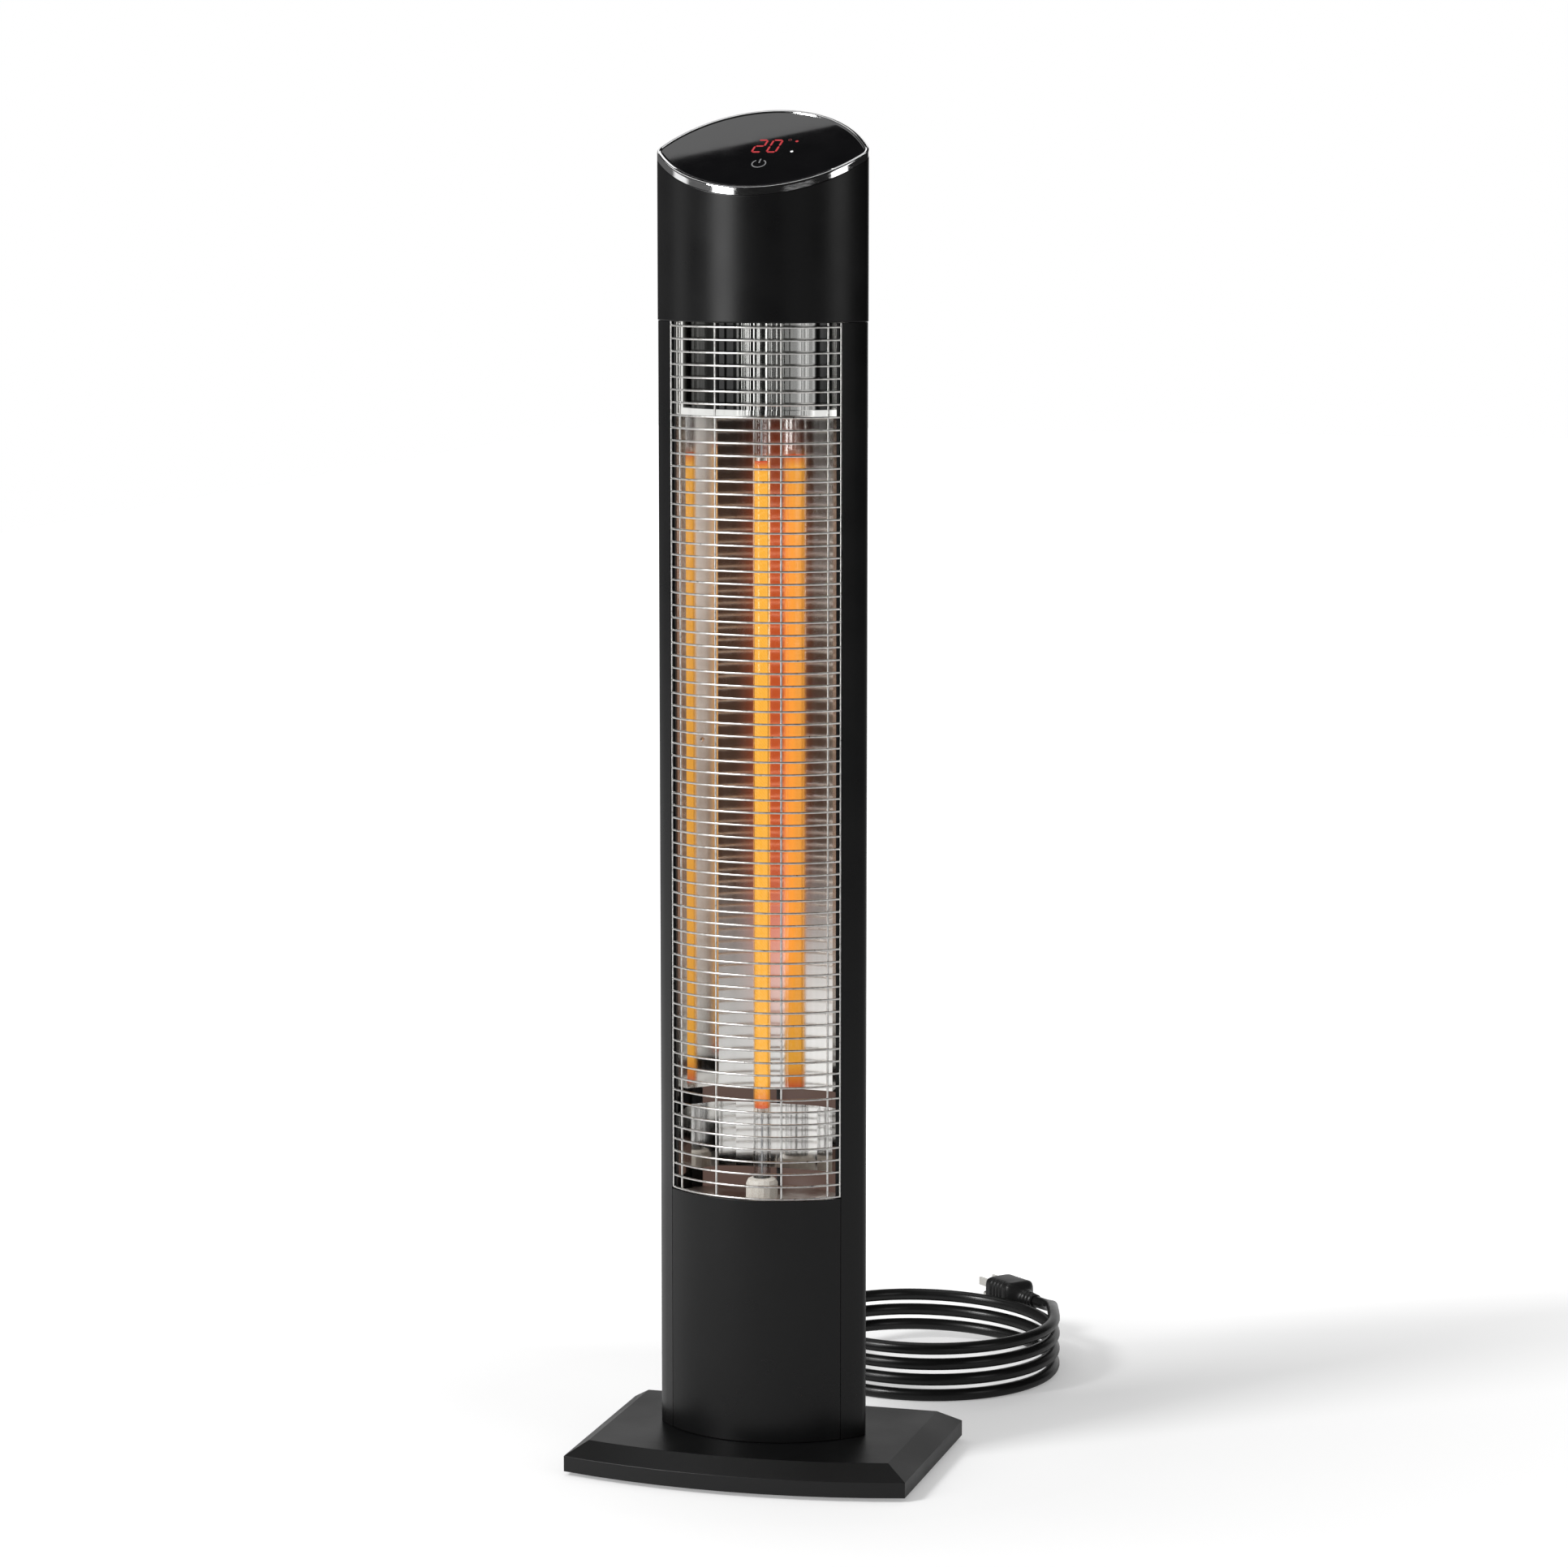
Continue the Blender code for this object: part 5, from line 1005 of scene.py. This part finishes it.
# Column, head and base
def make_guard(finish):
    """Round level wires bent to the body's front, on six upright wires."""
    bm = bmesh.new()
    half = UPRIGHTS_IN_LINE[0] + WIRE_RADIUS
    stations = spread(-half, half, WIRE_STEPS)
    for z in spread(WIRE_LOW, WIRE_HIGH, WIRE_ROWS - 1):
        path = [Vector((x, front_y(x, WIRE_INSET), z)) for x in stations]
        add_loft(bm, tube_rings(path, WIRE_RADIUS, WIRE_SIDES))
    behind = WIRE_INSET + UPRIGHT_SET_BACK * WIRE_RADIUS
    uprights = [(x, WIRE_INSET) for x in UPRIGHTS_IN_LINE] + [(x, behind) for x in UPRIGHTS_BEHIND]
    for x, inset in uprights:
        for sign in (-1, 1):
            y = front_y(x, inset)
            path = [Vector((sign * x, y, WIRE_LOW)), Vector((sign * x, y, WIRE_TOP))]
            add_loft(bm, tube_rings(path, WIRE_RADIUS, UPRIGHT_SIDES))
    guard = from_bmesh("guard_wires", bm, finish, ROUND_ANGLE)
    show(guard, "plated_wire", "guard")


def reflector_path():
    """The reflecting side, from the right front edge round the back to the left front edge."""
    middle = [
        (x, REFLECTOR_VERTEX_Y - REFLECTOR_RADIUS + math.sqrt(REFLECTOR_RADIUS**2 - x**2))
        for x in spread(REFLECTOR_CENTRE_HALF, -REFLECTOR_CENTRE_HALF, MIDDLE_STEPS)
    ]
    right = [REFLECTOR_EDGE, REFLECTOR_SIDE, REFLECTOR_FOLD]
    return right + middle + [(-x, y) for x, y in reversed(right)]


def moved_out(path, distance):
    """The path moved outwards by a distance, square to its stretches."""
    moved = []
    for i, point in enumerate(path):
        here = Vector(point)
        before = here - Vector(path[max(i - 1, 0)])
        after = Vector(path[min(i + 1, len(path) - 1)]) - here
        sides = [Vector((s.y, -s.x)).normalized() for s in (before, after) if s.length > 0]
        side = sum(sides, Vector((0, 0))).normalized()
        moved.append(tuple(here + side * distance / side.dot(sides[0])))
    return moved


def make_rivet(finish, flip, name):
    """A low domed rivet in the middle of the reflector's flank, on the side that flip gives."""
    fold = Vector((*REFLECTOR_FOLD, RIVET_Z))
    side = Vector((*REFLECTOR_SIDE, RIVET_Z))
    centre = flip * ((fold + side) / 2)
    along = (flip * (side - fold)).normalized()
    up = Vector((0, 0, 1))
    out = along.cross(up).normalized()
    if out.y > 0:
        out = -out
    rings = []
    for turn in spread(0, RIVET_TURN, RIVET_STEPS):
        radius = RIVET_RADIUS * math.cos(turn)
        middle = centre + out * (RIVET_HEIGHT * math.sin(turn))
        rings.append(circle(middle, along, up, radius, RIVET_SIDES))
    rivet = loft(f"rivet_{name}", rings, finish, smooth_angle=ROUND_ANGLE)
    show(rivet, "polished_sheet", f"reflector_rivet_{name}")


def make_reflector(finish):
    """The main reflector: a slightly hollow back, two folds on each side, and its rivets."""
    near = reflector_path()
    outline = near + list(reversed(moved_out(near, SHEET)))
    rings = [at_height(outline, z) for z in (REFLECTOR_BOTTOM, REFLECTOR_TOP)]
    sheet = loft("reflector_sheet", rings, finish, smooth_angle=FOLD_ANGLE)
    show(sheet, "polished_sheet", "reflector")
    for sign, name in ((-1, "left"), (1, "right")):
        make_rivet(finish, Vector((sign, 1, 1)), name)


def rounded(outline_at, top_drop, depth, first_inset, radius):
    """Rings up a wall to its slanted top, whose edge is rounded."""
    rings = [
        on_slant(outline_at(first_inset), top_drop + down)
        for down in (depth, radius + ROUND_SUPPORT)
    ]
    for turn in spread(0, math.pi / 2, ROUND_STEPS):
        inset = first_inset + radius * (1 - math.cos(turn))
        drop = top_drop + radius * (1 - math.sin(turn))
        rings.append(on_slant(outline_at(inset), drop))
    return rings


def make_head(paint, bright, glass):
    """The head's sleeve, the bright ring round its slanted top, and the glass."""
    inner = lens_outline(HEAD_WALL - HEAD_PROUD)
    shell_drop = RING_HEIGHT + SEAT_GAP
    third = HEAD_EDGE / 3
    eased = [
        (lens_outline(inset - HEAD_PROUD), rise)
        for inset, rise in ((HEAD_EDGE, 0), (third, third), (0, HEAD_EDGE), (0, 2 * HEAD_EDGE))
    ]
    rings = [at_height(outline, HEAD_BOTTOM + rise) for outline, rise in eased]
    rings += [on_slant(outline, shell_drop + rise) for outline, rise in reversed(eased)]
    rings += [on_slant(inner, shell_drop), at_height(inner, HEAD_BOTTOM)]
    shell = loft("head_sleeve", rings, paint, closed=True, smooth_angle=ROUND_ANGLE)
    show(shell, "satin_black_metal", "head_shell")
    outside = rounded(lens_outline, 0, RING_HEIGHT, -HEAD_PROUD, RING_ROUND)
    inside_inset = RING_WIDTH - HEAD_PROUD
    inside = [
        on_slant(lens_outline(inside_inset - RING_INNER_ROUND), 0),
        on_slant(lens_outline(inside_inset), RING_INNER_ROUND),
        on_slant(lens_outline(inside_inset), RING_HEIGHT),
    ]
    ring = loft("trim_ring", outside + inside, bright, closed=True, smooth_angle=ROUND_ANGLE)
    show(ring, "bright_ring", "chrome_ring")
    plate_inset = RING_WIDTH - HEAD_PROUD + SEAT_GAP
    plate = rounded(lens_outline, GLASS_RECESS, GLASS_THICKNESS, plate_inset, GLASS_ROUND)
    plate.append(on_slant(lens_outline(plate_inset + GLASS_TOP_INSET), GLASS_RECESS))
    show(loft("glass_plate", plate, glass), "black_glass", "control_glass")


def add_slab(bm, outline):
    """A thin plate on the glass with this outline, seen from above."""
    add_loft(bm, [on_slant(outline, GLASS_RECESS - lift) for lift in (0, MARK_THICKNESS)])


def stroke(ax, ay, bx, by, width):
    """A bar from one point to another with pointed ends."""
    length = math.hypot(bx - ax, by - ay)
    ux = (bx - ax) / length * width / 2
    uy = (by - ay) / length * width / 2
    return [
        (ax, ay),
        (ax + ux + uy, ay + uy - ux),
        (bx - ux + uy, by - uy - ux),
        (bx, by),
        (bx - ux - uy, by - uy + ux),
        (ax + ux - uy, ay + uy + ux),
    ]


def add_digit(bm, left, bars):
    """A leaning seven-bar digit; bars names the lit ones from a to g."""
    half = DIGIT_HEIGHT / 2
    corners = dict(
        a=(0, 2, 1, 2), b=(1, 1, 1, 2), c=(1, 0, 1, 1), d=(0, 0, 1, 0),
        e=(0, 0, 0, 1), f=(0, 1, 0, 2), g=(0, 1, 1, 1),
    )
    for bar in bars:
        ends = corners[bar]
        points = []
        for column, row in (ends[:2], ends[2:]):
            y = DIGITS_BOTTOM + DIGIT_STROKE / 2 + row * (half - DIGIT_STROKE / 2)
            x = left + DIGIT_STROKE / 2 + column * (DIGIT_WIDTH - DIGIT_STROKE)
            points.append((x + DIGIT_LEAN * (y - DIGITS_BOTTOM), y))
        (ax, ay), (bx, by) = points
        length = math.hypot(bx - ax, by - ay)
        sx = (bx - ax) / length * DIGIT_GAP
        sy = (by - ay) / length * DIGIT_GAP
        add_slab(bm, stroke(ax + sx, ay + sy, bx - sx, by - sy, DIGIT_STROKE))


def on_circle(x, y, radius, turns):
    """Points of a circle on the slant, as seen from above."""
    squash = math.cos(HEAD_TILT)
    return [(x + radius * math.cos(t), y + radius * squash * math.sin(t)) for t in turns]


def disc(x, y, radius):
    return on_circle(x, y, radius, spread(0, math.tau, DISC_STEPS)[:-1])


def open_ring(x, y, radius, width, first, last, steps):
    turns = spread(first, last, steps)
    return on_circle(x, y, radius, turns) + on_circle(x, y, radius - width, reversed(turns))


def make_marks():
    """The lit figures, the two dots and the touch key's mark, all thin plates on the glass."""
    red = lit_mark("lit_red", (0.32, 0.005, 0.010), 0.62)
    white = lit_mark("lit_white", (0.75, 0.75, 0.75), 0.8)
    grey = lit_mark("printed_grey", (0.15, 0.15, 0.155), 0.2)
    dim = lit_mark("dim_red", (0.12, 0.008, 0.008), 0.4)
    bm = bmesh.new()
    add_digit(bm, DIGITS_LEFT, "abged")
    add_digit(bm, DIGITS_LEFT + DIGIT_STEP, "abcdef")
    show(from_bmesh("display_figures", bm, red), "red_display")
    degree = open_ring(*DEGREE_MARK, DEGREE_GAP, math.tau - DEGREE_GAP, DEGREE_STEPS)
    for name, outline, finish, slot in (
        ("display_dot_red", disc(*RED_DOT), red, "red_display"),
        ("display_degree", degree, dim, "red_display"),
        ("display_dot_white", disc(*WHITE_DOT), white, "white_ceramic"),
    ):
        bm = bmesh.new()
        add_slab(bm, outline)
        show(from_bmesh(name, bm, finish), slot)
    bm = bmesh.new()
    start = math.pi / 2 + TOUCH_GAP
    end = math.pi / 2 + math.tau - TOUCH_GAP
    add_slab(bm, open_ring(TOUCH_X, TOUCH_Y, TOUCH_RADIUS, TOUCH_STROKE, start, end, TOUCH_STEPS))
    left = TOUCH_X - TOUCH_STROKE / 2
    right = TOUCH_X + TOUCH_STROKE / 2
    low = TOUCH_Y + TOUCH_RADIUS * TOUCH_BAR_ENDS[0]
    high = TOUCH_Y + TOUCH_RADIUS * TOUCH_BAR_ENDS[1]
    add_slab(bm, [(left, low), (right, low), (right, high), (left, high)])
    show(from_bmesh("touch_mark", bm, grey), "white_ceramic")


def make_smooth(name, slot, finish, width):
    """A node's shape with its facets shaded smooth and its sharp edges eased."""
    bm = bmesh.new()
    bm.from_mesh(NODES[name].data)
    bmesh.ops.remove_doubles(bm, verts=bm.verts, dist=WELD_DISTANCE)
    bmesh.ops.dissolve_limit(
        bm, angle_limit=FLAT_ANGLE, verts=bm.verts, edges=bm.edges, use_dissolve_boundaries=False
    )
    piece = from_bmesh(f"{name}_eased", bm, finish)
    eased = piece.modifiers.new("eased_edges", "BEVEL")
    eased.width = width
    eased.segments = 3
    eased.limit_method = "ANGLE"
    eased.angle_limit = SMOOTH_ANGLE
    eased.harden_normals = True
    show(piece, slot, name)


# Floor, light and background
def make_floor():
    """Pale floor that keeps the shadow, turns white far away and greyer far in front."""
    mesh = bpy.data.meshes.new("floor")
    near = [(-FLOOR_SIDE, FLOOR_FRONT, 0), (FLOOR_SIDE, FLOOR_FRONT, 0)]
    corners = near + [(FLOOR_SIDE, FLOOR_BACK, 0), (-FLOOR_SIDE, FLOOR_BACK, 0)]
    mesh.from_pydata(corners, [], [(0, 1, 2, 3)])
    floor = add_object("floor", mesh)
    made, tree, shader = begin("floor_white", FLOOR_WHITE, 0.9)
    parts = split(tree, place(tree))
    ahead = between(tree, parts["Y"], 0, 1, *FLOOR_GREY_ENDS)
    feed(shader, "Base Color", blended(tree, ahead, FLOOR_GREY, FLOOR_WHITE))
    rays = tree.nodes.new("ShaderNodeLightPath").outputs
    seen = calculate(tree, "ADD", rays["Is Camera Ray"], rays["Is Glossy Ray"])
    seen = calculate(tree, "ADD", seen, rays["Is Transmission Ray"])
    seen = calculate(tree, "MINIMUM", seen, 1)
    away = compare(tree, "DISTANCE", place(tree), FLOOR_MIDDLE)
    far = between(tree, away, 0, 1, *MIRRORED_FAR)
    aside = calculate(tree, "ABSOLUTE", parts["X"], 0)
    back = between(tree, parts["Y"], 0, 1, *MIRRORED_BACK)
    back = product(tree, back, between(tree, aside, 1, 0, *MIRRORED_ASIDE))
    mirrored = product(tree, far, back)
    deep = compare(tree, "DOT_PRODUCT", place(tree), VIEW_HEADING)
    deep = between(tree, deep, 0, 1, *WHITE_DEEP)
    wide = largest(tree, between(tree, away, 0, 1, *WHITE_FAR), deep)
    camera = product(tree, wide, rays["Is Camera Ray"])
    near = largest(tree, product(tree, rays["Is Camera Ray"], FLOOR_GLOW), FLOOR_LEAST_GLOW)
    rise = calculate(tree, "SUBTRACT", 1, near)
    lift = product(tree, largest(tree, mirrored, camera), rise)
    lift = calculate(tree, "ADD", lift, near)
    feed(shader, "Emission Strength", product(tree, seen, lift))
    fill(shader, emission_color=(1, 1, 1, 1))
    mesh.materials.append(made)


def make_world():
    """White where the camera looks; in reflections a dark room, white behind, with two cards."""
    world = bpy.data.worlds.new("studio")
    world.use_nodes = True
    bpy.context.scene.world = world
    tree = world.node_tree
    background = tree.nodes["Background"]
    rays = tree.nodes.new("ShaderNodeLightPath").outputs
    mirror = calculate(tree, "ADD", rays["Is Glossy Ray"], rays["Is Transmission Ray"])
    mirror = calculate(tree, "MINIMUM", mirror, 1)
    direction = tree.nodes.new("ShaderNodeTexCoord").outputs["Generated"]
    parts = split(tree, direction)
    behind = between(tree, parts["Y"], *ROOM_LEVELS, *ROOM_BEHIND)
    left = between(tree, parts["X"], LEFT_LEVEL, 0, *ROOM_LEFT)
    side = compare(tree, "DOT_PRODUCT", direction, LEFT_CARD_HEADING)
    card = between(tree, side, 0, 1.0, *LEFT_CARD_EDGE)
    front = compare(tree, "DOT_PRODUCT", direction, FRONT_CARD_HEADING)
    front_card = between(tree, front, 0, FRONT_CARD_LEVEL, *FRONT_CARD_EDGE)
    front_card = product(tree, front_card, window(tree, parts["Z"], *FRONT_CARD_HEIGHT))
    card = largest(tree, card, front_card)
    behind = largest(tree, behind, left, card)
    ambient = product(tree, calculate(tree, "SUBTRACT", 1, mirror), AMBIENT_LEVEL)
    level = calculate(tree, "ADD", ambient, product(tree, mirror, behind))
    level = largest(tree, level, rays["Is Camera Ray"])
    tree.links.new(level, background.inputs["Strength"])
    fill(background, color=(1, 1, 1, 1))


def make_panel(name, position, target, width, height, radiance, roll=0):
    """A soft flat light; its power gives each square metre of it this radiance."""
    data = bpy.data.lights.new(name, "AREA")
    data.shape = "RECTANGLE"
    data.size = width
    data.size_y = height
    data.energy = 4 * radiance * width * height
    light = add_object(name, data)
    light.location = position
    aim = Vector(target) - Vector(position)
    light.rotation_mode = "QUATERNION"
    light.rotation_quaternion = aim.to_track_quat("-Z", "Y")
    if roll:
        light.rotation_mode = "XYZ"
        light.rotation_euler = (0, 0, roll)


def make_lights():
    """Softboxes left and right, a key light, and two lights over the heater and the floor."""
    back = (-0.45, 0.97, 2.0)
    top = (-0.45, 0.25, 2.6)
    make_panel("left_softbox", (-1.324, -1.757, 1.10), (0, 0, 0.8), 0.74, 1.6, 4.4)
    make_panel("right_softbox", (2.05, -0.86, 1.15), (0, 0, 0.75), 0.60, 1.1, 1.8)
    make_panel("back_ceiling", back, (*back[:2], 0), 1.2, 0.8, 0.95, BACK_LIGHT_ROLL)
    make_panel("key", (-1.60, -1.75, 2.2), (0, 0, 0.2), 0.70, 0.70, 29.0)
    make_panel("top_softbox", top, (*top[:2], 0), 2.0, 0.3, 1.2)


make_camera()
vinyl = lead_vinyl()
lead, lead_path = make_lead(vinyl)
plug = make_plug(lead_vinyl("plug_vinyl", 0.008, 0.013, 0.36, 900))
make_strain_relief(vinyl)

paint = satin_paint()
make_head(paint, chrome(), black_glass())
make_marks()
make_guard(wire_plating())
sheet = polished_sheet()
make_reflector(sheet)
for rail in ("left_rail", "right_rail", "lower_front_panel"):
    make_smooth(rail, "satin_black_metal", paint, EASED_EDGE)
make_smooth("rear_housing", "satin_black_metal", housing_paint(), EASED_EDGE)
make_smooth("base_cover", "satin_black_metal", base_paint(), BASE_EASED_EDGE)

rubber = lead_vinyl("foot_rubber", 0.010, 0.015, 0.5, 500)
feet = ("foot_front_left", "foot_front_right", "foot_back_left", "foot_back_right")
repaint(rubber, *feet, "supply_lead")
repaint(sheet, "lower_reflector")
repaint(worn_sheet(), "chamber_floor")
repaint(drawn_cover(), "upper_reflector_cover")
repaint(lit_quartz(), "quartz_tube")
repaint(glowing_carbon(), "carbon_element")
repaint(ceramic(), "lower_tube_cap", "upper_tube_cap", "terminal_block")
repaint(nickel(), "plug_blade_left", "plug_blade_right", "plug_earth_pin")
repaint(circuit_board(), "control_board", "power_board")
repaint(cast_iron(), "base_ballast")
repaint(lit_mark("display_block", (0.35, 0.01, 0.008), 0.3), "led_display")
plastic = black_plastic()
repaint(plastic, "control_carrier", "head_tray", "switch_frame", "power_rocker", "power_relay")
repaint(plastic, "tip_switch_body", "tip_plunger", "wiring_loom")
zinc_plate = zinc()
for row in frame["record"]["subparts"]:
    if row["material_slot"] == "zinc_steel":
        repaint(zinc_plate, row["node"])

make_floor()
make_world()
make_lights()
bpy.context.scene.view_settings.view_transform = "Standard"
